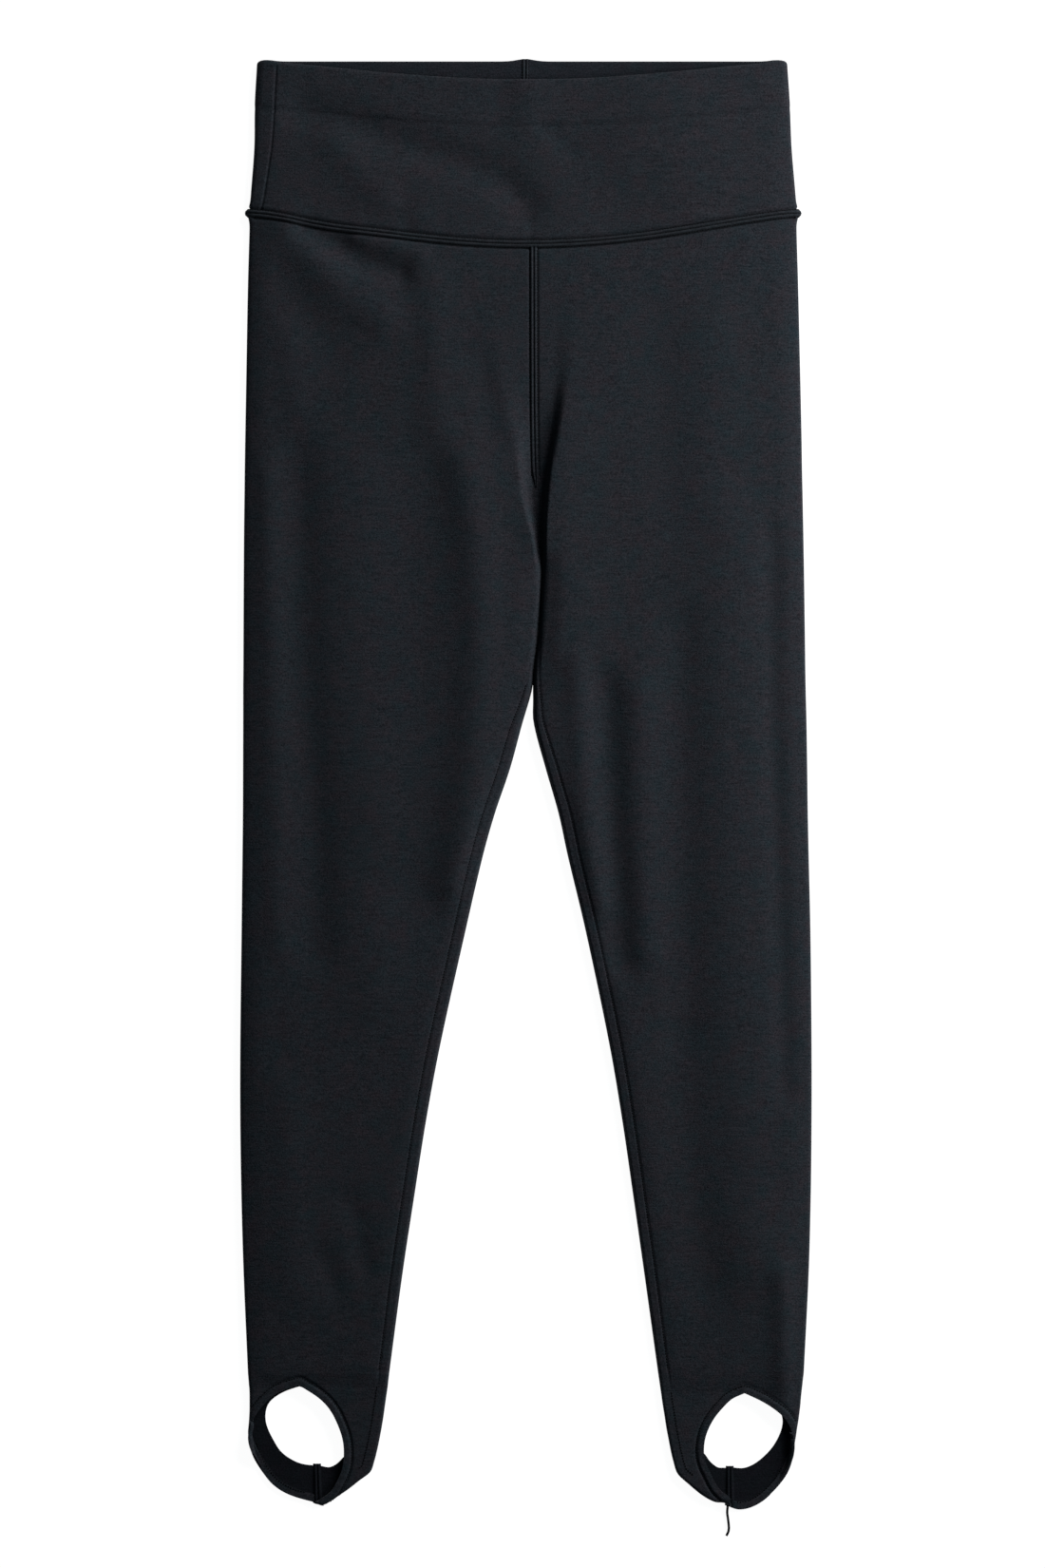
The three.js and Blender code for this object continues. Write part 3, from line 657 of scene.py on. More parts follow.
def strap_row(stations, t, shares):
    """Points across one half of a strap, at shares of the way from its toe edge to its heel edge."""
    toe, edge, heel = (route(stations[:, k:k + 2], t) for k in (0, 2, 4))
    along = t * (len(stations) - 1)
    turn = math.radians(float(np.interp(along, np.arange(len(stations)), stations[:, 6])))
    out = (edge - heel) / np.linalg.norm(edge - heel)
    centre = edge - out * FOLD_RADIUS * (1 if turn > math.pi / 2 else math.sin(turn))
    top_length = float(np.linalg.norm(toe - centre)) if turn > 0 else 0.0
    floor_start = top_length + FOLD_RADIUS * turn
    floor_length = float(np.linalg.norm(centre - heel))
    s = shares * (floor_start + floor_length)
    top, arc = s < top_length, (s >= top_length) & (s < floor_start)
    angle = turn - (s - top_length) / FOLD_RADIUS
    on_top = np.clip(s / max(top_length, 1e-6), 0, 1)[:, None]
    on_floor = np.clip((s - floor_start) / floor_length, 0, 1)[:, None]
    round_fold = centre + out * FOLD_RADIUS * np.sin(angle)[:, None]
    lower = np.where(arc[:, None], round_fold, centre + (heel - centre) * on_floor)
    spot = np.where(top[:, None], toe + (centre - toe) * on_top, lower)
    from_fold = np.clip((top_length - s) / STRAP_FADE, 0, 1)
    rise = RELIEF * crease_heights(*spot.T, CREASES) * (1 - (1 - from_fold) ** 2)
    z = np.where(top, LAID_HEIGHT + rise, np.where(arc, FOLD_RADIUS * (1 - np.cos(angle)), 0))
    return spot[:, 0], spot[:, 1], z, hem_share(s)


def toe_line(side):
    """The hem's edge on the front, from the strap's inner half over its highest place to the outer half."""
    inner, outer = (np.array(STRAPS[f"{side}_{half}"])[:, :2] for half in ("inner", "outer"))
    points = [route(inner, t) for t in np.linspace(1, 0, 40)]
    points += [route(outer, t) for t in np.linspace(0, 0.4, 16)[1:]]
    return [tuple(point) for point in points]


# %% [markdown]
# ## Legs
#
# Each leg is a single panel: from the centre front over the hip, round the outer fold and along the back
# to the centre back. Below the crotch its edges meet in the inseam, which lies just on the front of the
# laid leg, so a fine groove runs down there. The last row at the ankle is where the two halves of the
# strap begin, point by point, so leg and strap are one cloth.

# %% Seams of the legs
SEAM_X = rows_of(["down", "x"], [[0, 5.0], [233, 5.5], [262, 5.9], [282, 6.4], [300, 7.4]])
SEAM_END = 292
INSEAM_FROM = 354
INSEAM_REACH = rows_of(
    ["down", "reach"],
    [[354, 0], [380, 0.5], [396, 1.5], [440, 5.5], [470, 7.8], [520, 8.2], [836, 7.8], [905, 7.2], [1000, 7]],
)
# Each groove as its depth, how far it lies from the seam or edge, and its half width.
WAIST_GROOVE = (1.5, 2.4, 1.3)
CENTRE_GROOVE = (0.8, 2.5, 0.8)
INSEAM_GROOVE = (0.55, 0, 0.75)
HEM_STITCHES = HEM_WIDTH + 0.5
HEM_GROOVE = (0.8, HEM_STITCHES, 1.1)


def seam_groove(x, down, front):
    """How deep the cloth is drawn in beside the waist seam, and beside the centre front seam."""
    waist = bell(np.abs(down - seam_down(x, front)), WAIST_GROOVE)
    centre = bell(np.abs(x - smooth(SEAM_X, "x", down)), CENTRE_GROOVE)
    return waist + centre * (down > SEAM_DOWN) * (down < SEAM_END)


# %% Rows of a leg
INNER_STRETCH = 14.0
LEG_STEPS = (22, 54, 34, 10, 16, 24, 16)
LEG_LEVELS = spread((SEAM_DOWN + 0.6, 115, 230, 350, LEG_END), (9, 25, 40, 118))
# How far out the top of the space in the strap lies, as a share of the leg's width.
APEX_SHARE = {"right": 0.598, "left": 0.565}


def leg_distances(side, first, second):
    """Distances round a leg's section, with the same shares at each level so that columns run down."""
    top_end, floor_start, length = stops_of(first, second, LAID_HEIGHT)
    share = APEX_SHARE[side]
    apex_top = INNER_STRETCH + share * (top_end - INNER_STRETCH)
    apex_floor = floor_start + (1 - share) * (length - INNER_STRETCH - floor_start)
    stops = (0, INNER_STRETCH, apex_top, top_end, floor_start, apex_floor, length - INNER_STRETCH, length)
    return spread(stops, LEG_STEPS)


def leg_row(side, level):
    """One row of a leg's points as x, down and z."""
    first, second = float(smooth(OUTLINE, f"{side}_inner", level)), outer_edge(side, level)
    x, z, normal_x, normal_z = section(first, second, LAID_HEIGHT, leg_distances(side, first, second))
    front = normal_z > 0
    down = level + (1 - float(passed(level, DIP_FADE))) * (seam_down(x, front) - SEAM_DOWN)
    flat_top, flat_floor = flat_parts(normal_z)
    rise = top_height(x, down) - LAID_HEIGHT
    z = z + rise * np.maximum(normal_z, 0)
    z = np.where(flat_floor, z + floor_lift(x, down), z)
    # Round the inner fold: the two layers end at the centre seams, and lower down they close to a tube.
    open_share = 1 - float(passed(level, CLOSING))
    inner_arc = (np.abs(x - first) < FOLD_RADIUS) & ~flat_top & ~flat_floor
    target = np.where(front, LAID_HEIGHT + rise, 0)
    closed = np.where(front, FOLD_RADIUS + (LAID_HEIGHT + rise - FOLD_RADIUS) * np.maximum(normal_z, 0), z)
    z = np.where(inner_arc, closed + open_share * (target - closed), z)
    if level > INSEAM_FROM:
        from_inseam = np.abs(x - first) - float(smooth(INSEAM_REACH, "reach", level))
        z = z - np.where(front, bell(from_inseam, INSEAM_GROOVE) * normal_z, 0)
    return x, down, z - np.where(flat_top, seam_groove(x, down, front), 0)


# %% One half of a strap
BLEND_ROWS = 9
STRAP_ROWS = 57
TURN_PASSES = 6
HEM_RISE = 0.5
# The hem shows on the front: its rise begins at a share of the laid height and is full a reach above it.
FRONT_FROM = 0.55
FRONT_REACH = 0.4


def strap_half(side, half, ankle, edge):
    """Points of a strap's half from its row at the ankle on, and the share of turned hem at each of them."""
    stations = np.array(STRAPS[f"{side}_{half}"])
    lengths = lengths_along(ankle)
    shares = lengths / lengths[-1]
    start = np.stack(strap_row(stations, 0.0, shares)[:3], axis=1)
    no_hem = np.zeros(len(ankle))
    blends = np.linspace(0, 1, BLEND_ROWS + 1)[1:]
    rows = [(*(ankle + (start - ankle) * share).T, no_hem) for share in blends]
    rows += [strap_row(stations, t, shares) for t in np.linspace(0, 1, STRAP_ROWS + 1)[1:]]
    grid, hem = [to_frame(*ankle.T)], [no_hem]
    for x, down, z, turned in rows:
        from_edge = distance_to_line(x, down, edge)
        front = ease(z - FRONT_FROM * LAID_HEIGHT, FRONT_REACH * LAID_HEIGHT)
        on_front = hem_share(from_edge) * front
        grid.append(to_frame(x, down, z + HEM_RISE * on_front - bell(from_edge, HEM_GROOVE) * front))
        hem.append(np.maximum(turned, on_front))
    grid, hem = np.stack(grid), np.stack(hem)
    if half == "outer":
        # This half turns over, so its rows are evened out along it and the fold stays smooth.
        for _ in range(TURN_PASSES):
            for field in (grid[BLEND_ROWS:], hem[BLEND_ROWS:]):
                field[1:-1] = (field[:-2] + 2 * field[1:-1] + field[2:]) / 4
    return grid, hem


# %% Both legs
LEG_CLOTH = 1.4
HEM_CLOTH = 1.8


def leg_cloth(side):
    """A leg and its strap as one cloth."""
    rows = [leg_row(side, level) for level in LEG_LEVELS]
    tube = np.stack([to_frame(*row) for row in rows])
    ankle = np.stack(rows[-1], axis=1)
    marks = np.cumsum([0, *LEG_STEPS])
    apex_top, apex_floor, last = marks[2], marks[5], marks[-1]
    halves = {
        "outer": np.arange(apex_top, apex_floor + 1),
        "inner": np.concatenate([np.arange(apex_top, -1, -1), np.arange(last - 1, apex_floor - 1, -1)]),
    }
    grids, hems, flips = [tube], [np.zeros(tube.shape[:2])], [side == "right"]
    for half, columns in halves.items():
        grid, hem = strap_half(side, half, ankle[columns], toe_line(side))
        grids.append(grid)
        hems.append(hem)
        flips.append((side == "right") == (half == "outer"))
    piece = cloth_from_grids(f"leg_cloth_{side}", grids, flips, hems)
    thicken(piece, LEG_CLOTH, HEM_CLOTH)
    return piece


leg_cloths = {side: leg_cloth(side) for side in ("right", "left")}
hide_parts("leg_right", "stirrup_right_outer", "stirrup_right_inner")
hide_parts("leg_left", "stirrup_left_outer", "stirrup_left_inner")
for cloth in leg_cloths.values():
    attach(cloth, BODY)

# %% [markdown]
# ## Waistband
#
# The waistband is cut double and folded over at its top edge, with an elastic held in the fold. So it is
# one closed profile, carried round the waist: up the outside, over the rounded fold and down the inside.
# The elastic makes the upper part a little thicker. At the wearer's right a side seam lies on the front.
# The other one is on the underside and isn't drawn.

# %% Profile of the waistband
WAISTBAND_EXTRA = 0.6
ELASTIC_DEPTH = 31
ELASTIC_RISE = 0.55
BAND_CLOTH = 2.3
FIXED_TO = 36.0
# Each row's fixed depth below the fold, its share of the way on from FIXED_TO to the waist seam, and how deep
# it lies under the outer face. The rows stand close together where the seam draws the cloth in.
depths = (3.2, 5, 8, 11, 14, 17, 20, 23, 25, 27, 28.5, 30, 31, 32, 33.5, FIXED_TO)
shares = (*np.linspace(0, 0.86, 20)[1:], *np.linspace(0.86, 1, 11)[1:])
outside = [(1.4, 0.0, 0.18), (2.2, 0.0, 0.04)]
outside += [(fixed, 0.0, 0.0) for fixed in depths]
outside += [(FIXED_TO, share, 0.0) for share in shares]
fold = ((0.8, 0.42), (0.35, 0.8), (0.08, 1.2), (0.0, 1.5), (0.2, 1.9), (0.7, 2.2))
over = [(fixed, 0.0, sunk) for fixed, sunk in fold]
inside = [(fixed, 0.0, BAND_CLOTH) for fixed in (1.4, 8.0, 20.0, FIXED_TO)]
inside += [(FIXED_TO, share, BAND_CLOTH) for share in (0.25, 0.5, 0.75, 1.0)]
PROFILE = outside[::-1] + over + inside

# %% One line round the waistband
CORNER = 3.0
CORNER_FADE = 12
SIDE_SEAM = 13.5
SIDE_SEAM_LEANS = 5
SIDE_SEAM_STRETCH = 3
ELASTIC_STEP = (ELASTIC_DEPTH - 1.5, 4)
SIDE_LIFT = 0.35
BAND_END = 0.5
# Bells: the corners' rise by the distance from the side, and two lines where stitches draw the cloth in.
CORNER_RISE = (1.0, 4, 6)
SIDE_SEAM_GROOVE = (0.55, 0, 0.8)
ELASTIC_GROOVE = (0.25, ELASTIC_DEPTH + 1.5, 2.2)


def waistband_row(fixed, share, sunk):
    """The points of one row of the profile, all round the waist."""
    guess = fixed + share * (SEAM_DOWN - fixed)
    inset = CORNER * (1 - math.sqrt(1 - max(0, 1 - guess / CORNER) ** 2))
    first, second = outer_edge("right", guess) + inset, outer_edge("left", guess) - inset
    height = LAID_HEIGHT + WAISTBAND_EXTRA
    top_end, floor_start, length = stops_of(first, second, height)
    seam = math.pi / 4 * height + SIDE_SEAM - SIDE_SEAM_LEANS * share - height / 2
    stops = (0, seam - SIDE_SEAM_STRETCH, seam + SIDE_SEAM_STRETCH, top_end, floor_start, length)
    distances = spread(stops, (9, 12, 120, 10, 90))
    x, z, normal_x, normal_z = section(first, second, height, distances)
    front = normal_z > 0
    top, bottom = top_edge_down(x, front), seam_down(x, front) - BAND_END
    down = top + fixed + share * (bottom - top - fixed)
    from_side = np.minimum(np.abs(x - first), np.abs(x - second))
    down = down - bell(from_side, CORNER_RISE) * (1 - float(ease(guess, CORNER_FADE)))
    flat_top, flat_floor = flat_parts(normal_z)
    z = z + (top_height(x, down) - LAID_HEIGHT) * np.maximum(normal_z, 0)
    z = np.where(flat_floor, z + floor_lift(x, down), z)
    elastic = ELASTIC_RISE * (1 - float(passed(fixed, ELASTIC_STEP)))
    if share == 0:
        elastic -= bell(fixed, ELASTIC_GROOVE)
    lift = np.where(flat_top, elastic, SIDE_LIFT * elastic)
    if sunk == 0:
        lift = lift - bell(distances - seam, SIDE_SEAM_GROOVE) - seam_groove(x, down, front) * (share > 0.5)
    lift = np.where(flat_floor, 0, lift) - sunk
    return to_frame(x + normal_x * lift, down, z + normal_z * lift)


# %% The waistband's cloth
rings = np.stack([waistband_row(*row) for row in PROFILE])
closed = np.concatenate([rings, rings[:1]])
waistband = cloth_from_grids("waistband", [closed], [False], reverse_from=len(outside) + len(over) - 2)
edit_all(bpy.ops.mesh.normals_make_consistent, inside=False)
shade(waistband)
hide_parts("waistband_front", "waistband_back_left", "waistband_back_right")
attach(waistband, BODY)

# %% [markdown]
# ## Seam bands
#
# The panels are joined by flat seams: the allowances are turned to one side and stitched down, so each
# seam is a slim raised band. A band is a strip with a profile of two ribs that is carried along the seam.

# %% A band along a seam
# One rib, as shares of the band's half width with the height there; the other rib mirrors it.
RIB = [
    (-1.2, -1.5), (-1.06, -1.2), (-0.94, -0.8), (-0.82, 0.25), (-0.66, 0.72), (-0.5, 0.85), (-0.34, 0.72),
    (-0.18, 0.25), (-0.06, -0.6),
]
BAND_SHAPE = RIB + [(-share, rise) for share, rise in RIB[::-1]]
BAND_SHARES, BAND_RISES = np.array(BAND_SHAPE).T
GROOVES = (-0.98, 0.0, 0.98)
BAND_WALL = 1.0


def seam_band(name, rows, node, flip=False):
    """A band from rows of points across a seam; it gets a thin wall and stands for a CAD node."""
    piece = cloth_from_grids(name, [np.stack(rows)], [flip])
    thicken(piece, BAND_WALL)
    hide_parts(node)
    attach(piece, BODY)
    return piece


# %% Waist seam
WAIST_BAND_WIDTH = 5.0
RIB_HEIGHT = 0.75
END_RIB = 0.9
END_BULGE = 1.2
BAND_REACH = -RIB[0][0]
FLOOR_SINK = 0.25


def waist_ring(share, rise):
    """One line round the waist seam at a share of its half width."""
    first, second = (outer_edge(side, SEAM_DOWN) for side in ("right", "left"))
    height = LAID_HEIGHT + WAISTBAND_EXTRA / 2
    distances = spread((0, *stops_of(first, second, height)), (150, 14, 110))
    x, z, normal_x, normal_z = section(first, second, height, distances)
    down = seam_down(x, normal_z > 0) + share * WAIST_BAND_WIDTH / 2
    flat_floor = flat_parts(normal_z)[1]
    z = z + (top_height(x, down) - LAID_HEIGHT) * np.maximum(normal_z, 0)
    z = np.where(flat_floor, z + floor_lift(x, down) + FLOOR_SINK * (1 - rise), z)
    # At the garment's two edges the ribs run together into one round end.
    end_rise = max(rise, END_RIB * max(0, 1 - share**2))
    lift = np.where(flat_floor, 0, RIB_HEIGHT * (rise + (end_rise - rise) * (1 - np.abs(normal_z))))
    bulge = END_BULGE * max(0, 1 - (share / BAND_REACH) ** 2)
    return x + normal_x * (lift + bulge), down, z + normal_z * lift


ring_rows = [to_frame(*waist_ring(share, rise)) for share, rise in BAND_SHAPE]
waist_seam_band = seam_band("waist_seam_band", ring_rows, "waist_seam")


# %% Centre front, centre back and waistband back seams
CENTRE_BAND_WIDTH = 4.9
BACK_BAND_WIDTH = 4.8
POINT_LENGTH = 14
POINT_NARROWS = 0.7
SEAM_MARGIN = 1
OVERRUN = 2
STANDS_OUT = 0.1
UNDERSIDE_RIB = 0.35


def centre_line(levels, centre, height, rise, width, narrows=0.0):
    """Rows along a straight seam, each across its band, which may narrow to a point at its lower end."""
    rows = []
    for down in levels:
        narrow = 1 - narrows * float(ease(down - levels[-1] + POINT_LENGTH, POINT_LENGTH))
        x = centre(down) + BAND_SHARES * width / 2 * narrow
        rows.append(to_frame(x, down, height(x, down) + rise * BAND_RISES))
    return rows


FRONT_SEAM_AT = float(seam_down(CENTRE_X, True))
BACK_SEAM_AT = float(seam_down(CENTRE_X, False))
front_rows = centre_line(
    np.linspace(FRONT_SEAM_AT + SEAM_MARGIN, SEAM_END + OVERRUN, 110),
    centre=lambda down: smooth(SEAM_X, "x", down),
    height=lambda x, down: top_height(x, down) + STANDS_OUT,
    rise=0.6, width=CENTRE_BAND_WIDTH, narrows=POINT_NARROWS,
)
centre_front_band = seam_band("centre_front_band", front_rows, "centre_front_seam")
back_rows = centre_line(
    np.linspace(BACK_SEAM_AT + SEAM_MARGIN, CROTCH + OVERRUN, 80),
    centre=lambda down: smooth(OUTLINE, "right_inner", down),
    height=lambda x, down: UNDERSIDE_RIB,
    rise=-UNDERSIDE_RIB, width=CENTRE_BAND_WIDTH, narrows=POINT_NARROWS,
)
centre_back_band = seam_band("centre_back_band", back_rows, "centre_back_seam", flip=True)
waist_back_rows = centre_line(
    np.linspace(-1.5, float(seam_down(0.0, False)) - SEAM_MARGIN, 40),
    centre=lambda down: BACK_SEAM_X,
    height=lambda x, down: BAND_CLOTH + STANDS_OUT,
    rise=0.5, width=BACK_BAND_WIDTH,
)
waistband_back_band = seam_band("waistband_back_band", waist_back_rows, "waistband_back_seam")

# %% Seams under the feet
# Each from its end at the heel to its end at the toe, where the band grows wider and leans.
UNDER_FOOT = {"right": (-144.3, 967.8, -143.4, 996.0), "left": (140.7, 969.4, 141.0, 997.6)}
UNDER_FOOT_HEIGHT = 2.0
UNDER_FOOT_RISE = 0.4
HEEL_HALF_WIDTH = 2.3
TOE_WIDENS = 0.8
TOE_LEANS = 0.9
ENDS_DROP = 0.5
under_foot_bands = {}
for side, (heel_x, heel_down, toe_x, toe_down) in UNDER_FOOT.items():
    rows = []
    for t in np.linspace(0, 1, 16):
        x = heel_x + (toe_x - heel_x) * t + BAND_SHARES * (HEEL_HALF_WIDTH + TOE_WIDENS * t**3)
        down = heel_down + (toe_down - heel_down) * t + TOE_LEANS * t**3 * BAND_SHARES
        z = UNDER_FOOT_HEIGHT + UNDER_FOOT_RISE * BAND_RISES - ENDS_DROP * (2 * t - 1) ** 4
        rows.append(to_frame(x, down, z))
    under_foot_bands[side] = seam_band(f"under_foot_band_{side}", rows, f"under_foot_seam_{side}")

# %% [markdown]
# ## Materials
#
# The cloth is a double knit of viscose, nylon and elastane, dyed blue-black and finished matt. From a
# distance it shows soft slubs along the courses of the knit, a little fuzz and no shine. The seams are
# the same cloth pressed hard, and the stitches are spun polyester thread, a shade darker.


# %% Colours and nodes
def colour(code):
    """sRGB hex to linear."""
    values = [int(code[k:k + 2], 16) / 255 for k in (1, 3, 5)]
    linear = [v / 12.92 if v <= 0.04045 else ((v + 0.055) / 1.055) ** 2.4 for v in values]
    return (*linear, 1.0)


def add_node(tree, kind, inputs=None, **settings):
    """Adds a node, sets its settings, and sets or links its inputs."""
    node = tree.nodes.new(kind)
    for name, value in settings.items():
        setattr(node, name, value)
    for name, value in (inputs or {}).items():
        if isinstance(value, bpy.types.NodeSocket):
            tree.links.new(value, node.inputs[name])
        else:
            node.inputs[name].default_value = value
    return node


def new_material(name, roughness, specular):
    """A material with its shader; returns the material, its tree and the shader."""
    material = bpy.data.materials.new(name)
    material.use_nodes = True
    tree = material.node_tree
    shader = tree.nodes["Principled BSDF"]
    shader.inputs["Roughness"].default_value = roughness
    shader.inputs["Specular IOR Level"].default_value = specular
    shader.inputs["IOR"].default_value = 1.5
    return material, tree, shader


def object_place(tree):
    return add_node(tree, "ShaderNodeTexCoord").outputs["Object"]


def noise(tree, place, scale, detail, roughness=0.5):
    inputs = {"Vector": place, "Scale": scale, "Detail": detail, "Roughness": roughness}
    return add_node(tree, "ShaderNodeTexNoise", inputs).outputs["Fac"]


def mix(tree, factor, first, second):
    """A colour between two others."""
    inputs = {"Factor": factor, "A": first, "B": second}
    return add_node(tree, "ShaderNodeMix", inputs, data_type="RGBA").outputs["Result"]


def stretch(tree, value, low, high):
    """Spreads the values between two limits to 0 and 1."""
    inputs = {"Value": value, "From Min": low, "From Max": high}
    return add_node(tree, "ShaderNodeMapRange", inputs).outputs["Result"]


def bump(tree, height, strength, distance, under=None):
    """Fine relief, on top of another one if that is given."""
    inputs = {"Height": height, "Strength": strength, "Distance": distance}
    if under is not None:
        inputs["Normal"] = under
    return add_node(tree, "ShaderNodeBump", inputs).outputs["Normal"]


# %% Double knit
def knit(name, teal, plum, specular=0.05, sheen=0.06):
    """Matt double knit: fuzz, slubs along the courses, and patches where the pile lies another way.

    teal and plum are the dark and the light shade of the yarn in each of the two kinds of patches.
    """
    material, tree, shader = new_material(name, 0.95, specular)
    shader.inputs["Sheen Weight"].default_value = sheen
    shader.inputs["Sheen Roughness"].default_value = 0.35
    place = object_place(tree)
    # Slubs are some 9 mm long and 1 mm high, so the pattern is drawn out along x.
    along = add_node(tree, "ShaderNodeMapping", {"Vector": place, "Scale": (110, 950, 300)})
    slub = noise(tree, along.outputs["Vector"], 1.0, 3.0, 0.65)
    # Fuzz and pills of about 1.2 mm; the real fibres are finer, but this is what the picture can show.
    fuzz = noise(tree, place, 900.0, 3.0, 0.7)
    # Unevenness of 15 to 30 mm in how the pile lies, and patches of the two kinds of yarn.
    cloudy = noise(tree, place, 48.0, 4.0, 0.65)
    patches = noise(tree, place, 80.0, 6.0, 0.72)
    fuzzy = add_node(tree, "ShaderNodeMath", {0: fuzz, 1: 2.2}, operation="MULTIPLY")
    mixed = add_node(tree, "ShaderNodeMath", {0: fuzzy.outputs[0], 1: slub}, operation="ADD")
    yarn = stretch(tree, mixed.outputs[0], 1.15, 2.05)
    shades = [mix(tree, yarn, colour(dark), colour(light)) for dark, light in (teal, plum)]
    tint = mix(tree, stretch(tree, patches, 0.34, 0.66), *shades)
    tree.links.new(tint, shader.inputs["Base Color"])
    soft = bump(tree, cloudy, 0.5, 0.0005)
    fine = bump(tree, slub, 0.5, 0.00016, soft)
    tree.links.new(bump(tree, fuzz, 0.6, 0.0004, fine), shader.inputs["Normal"])
    return material


double_knit = knit("double_knit_viscose_nylon", ("#0e161a", "#262e33"), ("#161519", "#302d32"))
waistband_knit = knit("double_knit_waistband", ("#0f161a", "#272e33"), ("#161519", "#302d32"))
# The inside of the waistband is coloured darker: painted shade, where it lies under the front's top edge.
waistband_lining_painted_shade = knit("double_knit_lining_painted_shade", ("#0d1317", "#21272c"), ("#111216", "#26252b"))
seam_knit = knit("pressed_seam_knit", ("#0f1519", "#262c30"), ("#141418", "#2a2a2f"), specular=0.08)
# The reverse is coloured darker than the face: painted shade for the shadow inside the straps and the legs.
wrong_side_painted_shade = knit("double_knit_wrong_side_painted_shade", ("#090d10", "#151a1e"), ("#0c0c10", "#19181e"), sheen=0.02)

# %% Thread and floor
thread, tree, shader = new_material("spun_polyester_thread", 0.85, 0.08)
ply = noise(tree, object_place(tree), 2500.0, 1.0)
tree.links.new(mix(tree, ply, colour("#050608"), colour("#0c0d10")), shader.inputs["Base Color"])

paper, tree, shader = new_material("matt_paper_sweep", 0.9, 0.1)
# The sweep is lit from below too, as on a light table, so shadows on it stay pale.
shader.inputs["Emission Color"].default_value = (1, 1, 1, 1)
shader.inputs["Emission Strength"].default_value = 0.96
grain = noise(tree, object_place(tree), 600.0, 2.0)
tree.links.new(mix(tree, grain, colour("#6e6e6e"), colour("#767676")), shader.inputs["Base Color"])


def dress(piece, *materials):
    """Gives a piece its materials: the one of the cloth's face first, then that of its reverse."""
    slots = piece.data.materials
    while len(slots) < len(materials):
        slots.append(None)
    for k, material in enumerate(materials):
        slots[k] = material


dress(floor, paper)
dress(waistband, waistband_knit, waistband_lining_painted_shade)
for piece in leg_cloths.values():
    dress(piece, double_knit, wrong_side_painted_shade)
for piece in (waist_seam_band, centre_front_band, centre_back_band, waistband_back_band):
    dress(piece, seam_knit, seam_knit)
# Under the foot the bands show the strap's inner face, so they get the reverse's painted shade.
for piece in under_foot_bands.values():
    dress(piece, wrong_side_painted_shade, seam_knit)

# %% [markdown]
# ## Stitches
#
# The seams are sewn with a coverstitch: rows of short stitches that follow each other every 1.9 mm and
# draw the cloth in. One stitch is modelled from a sphere and copied along each row. Where a row
# lies on open cloth, its points are dropped on the cloth from above.

# %% One stitch
STITCH_PITCH = 1.9
STITCH_LENGTH = 1.4
STITCH_WIDTH = 0.9
bpy.ops.object.select_all(action="DESELECT")
bpy.ops.mesh.primitive_uv_sphere_add(segments=6, ring_count=5, radius=0.5)
sample_stitch = bpy.context.active_object
sample_stitch.name = "stitch_sample"
bpy.ops.object.mode_set(mode="EDIT")
bpy.ops.mesh.select_all(action="SELECT")
bpy.ops.transform.rotate(value=math.pi / 2, orient_axis="Y", center_override=(0, 0, 0))
bpy.ops.transform.resize(value=(STITCH_LENGTH, STITCH_WIDTH, STITCH_WIDTH))
bpy.ops.object.mode_set(mode="OBJECT")
stitch_points = np.array([v.co for v in sample_stitch.data.vertices])
stitch_faces = [list(face.vertices) for face in sample_stitch.data.polygons]
bpy.data.objects.remove(sample_stitch)


def stitch_rows(name, lines):
    """Copies of the stitch along lines of points in metres, as one piece."""
    points, faces = [], []
    half = STITCH_LENGTH / 2 * MM
    for line in lines:
        reach = lengths_along(line)
        centres = np.arange(STITCH_PITCH / 2, reach[-1] / MM - STITCH_PITCH / 2, STITCH_PITCH) * MM
        for centre in centres:
            at = (centre - half, centre + half)
            start, end = np.stack([np.interp(at, reach, column) for column in line.T], axis=1)
            along = (end - start) / np.linalg.norm(end - start)
            across = np.cross((0, 0, 1), along)
            across /= max(np.linalg.norm(across), 1e-9)
            turned = np.stack([along, across, np.cross(along, across)])
            base = len(points) * len(stitch_points)
            points.append((stitch_points * MM) @ turned + (start + end) / 2)
            faces += [[base + k for k in face] for face in stitch_faces]
    mesh = bpy.data.meshes.new(name)
    mesh.from_pydata(np.concatenate(points).tolist(), [], faces)
    piece = new_piece(name, mesh)
    bpy.ops.object.shade_smooth()
    dress(piece, thread)
    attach(piece, BODY)
    print(name, len(points), "stitches")
    return piece


# %% Places of stitches
# The height of stitches over open cloth, in the waist seam's profile, and over the faces of the cloth at the
# two centre seams, whose grooves lie below those faces.
STITCH_STANDS = 0.05
ON_RING = -0.75
ON_FRONT = -0.3
ON_BACK = -0.1
STITCH_MARGIN = 4
BACK_ROW = 2.2
INSEAM_STITCHES = (430, 903)
# A line beside one that turns sharply would loop, so points that come nearer to it by this much are left out.
NEARER = 0.2


def drop(piece, places):
    """Puts points given as x and down on the piece below them."""
    line = []
    for x, down in places:
        above = to_frame(x, down, 50)
        hit, place, _, _ = piece.ray_cast(Vector(above), Vector((0, 0, -1)))
        if hit:
            line.append([*above[:2], place.z + STITCH_STANDS * MM])
    return np.array(line)


def beside(points, distance, centre, away):
    """A line beside another one, on the side away from a centre or towards it."""
    points = np.array(points, float)
    along = np.gradient(points, axis=0)
    across = np.stack([-along[:, 1], along[:, 0]], axis=1) / np.linalg.norm(along, axis=1)[:, None]
    outwards = np.sign(np.sum(across * (points - centre), axis=1))[:, None]
    moved = points + across * outwards * distance * (1 if away else -1)
    gaps = distance_to_line(moved[:, 0], moved[:, 1], [tuple(point) for point in points])
    return moved[gaps > distance - NEARER]


# %% Stitches of the seam bands
waist_lines = [to_frame(*waist_ring(share, ON_RING)) for share in GROOVES]
waist_stitches = stitch_rows("waist_seam_stitches", waist_lines)

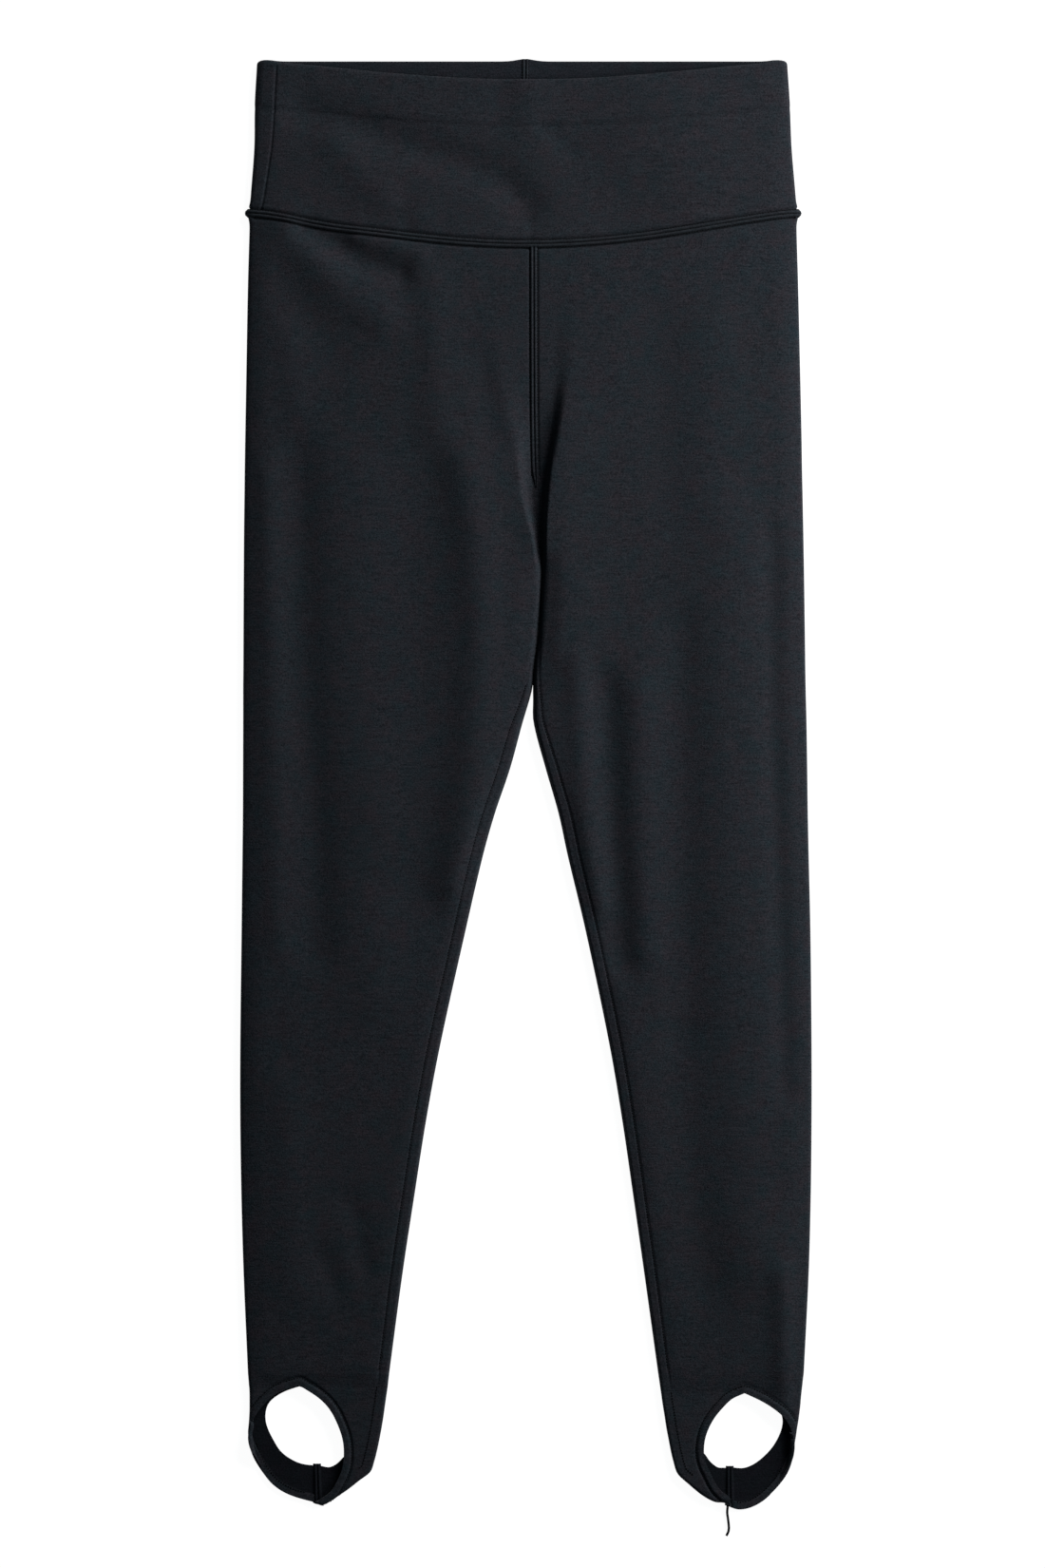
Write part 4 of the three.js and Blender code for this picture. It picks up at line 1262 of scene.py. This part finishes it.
levels = np.linspace(FRONT_SEAM_AT + STITCH_MARGIN, SEAM_END - STITCH_MARGIN, 200)
front_lines = []
for share in GROOVES:
    x = smooth(SEAM_X, "x", levels) + share * CENTRE_BAND_WIDTH / 2
    front_lines.append(to_frame(x, levels, top_height(x, levels) + ON_FRONT))
centre_stitches = stitch_rows("centre_front_stitches", front_lines)

levels = np.linspace(-1, float(seam_down(0.0, False)) - STITCH_MARGIN, 60)
back_lines = [to_frame(BACK_SEAM_X + side, levels, BAND_CLOTH + ON_BACK) for side in (-BACK_ROW, BACK_ROW)]
waistband_stitches = stitch_rows("waistband_back_stitches", back_lines)

# %% Inseams and hems
inseam_lines, hem_lines = [], []
levels = np.linspace(*INSEAM_STITCHES, 320)
for side, sign in (("right", -1), ("left", 1)):
    cloth, hole = leg_cloths[side], HOLES[side]
    inner, outer = (np.array(STRAPS[f"{side}_{half}"]) for half in ("inner", "outer"))
    x = smooth(OUTLINE, f"{side}_inner", levels) + sign * smooth(INSEAM_REACH, "reach", levels)
    inseam_lines.append(drop(cloth, zip(x, levels)))
    folds = [route(inner[:, 2:4], t) for t in np.linspace(0, 0.66, 40)]
    reach = float(smooth(INSEAM_REACH, "reach", LEG_END))
    inseam_lines.append(drop(cloth, beside(folds, reach, hole, False)))
    hem_lines.append(drop(cloth, beside(toe_line(side), HEM_STITCHES, hole, True)))
    lower = [route(outer[:, :2], t) for t in np.linspace(0.6, 0.97, 60)]
    hem_lines.append(drop(cloth, beside(lower, HEM_STITCHES, hole, False)))
inseam_stitches = stitch_rows("inseam_stitches", inseam_lines)
hem_stitches = stitch_rows("strap_hem_stitches", hem_lines)

# %% [markdown]
# ## Loose thread
#
# The overlock under the left foot was not trimmed, and about 20 mm of its thread chain hangs out. It lies
# on the floor. The chain is some 1.7 mm wide, so it is a round curve of that width, made a mesh.

# %% The loose end
TAIL_RADIUS = 0.85
ON_FLOOR = 0.95
TAIL = [(139.3, 996.5, 1.6), (139.1, 999.3, 1.2)]
lying = ((138.9, 1001.6), (139.4, 1005), (140, 1009.5), (140.2, 1013), (139.6, 1015.6), (138.4, 1017.6))
TAIL += [(x, down, ON_FLOOR) for x, down in lying]
curve = bpy.data.curves.new("thread_tail", "CURVE")
curve.dimensions = "3D"
curve.bevel_depth = TAIL_RADIUS * MM
curve.bevel_resolution = 2
curve.use_fill_caps = True
line = curve.splines.new("NURBS")
line.points.add(len(TAIL) - 1)
for point, place in zip(line.points, TAIL):
    point.co = (*to_frame(*place), 1)
line.order_u = 3
line.use_endpoint_u = True
new_piece("thread_tail", curve)
bpy.ops.object.convert(target="MESH")
thread_tail = bpy.context.active_object
bpy.ops.object.shade_smooth()
dress(thread_tail, thread)
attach(thread_tail, BODY)
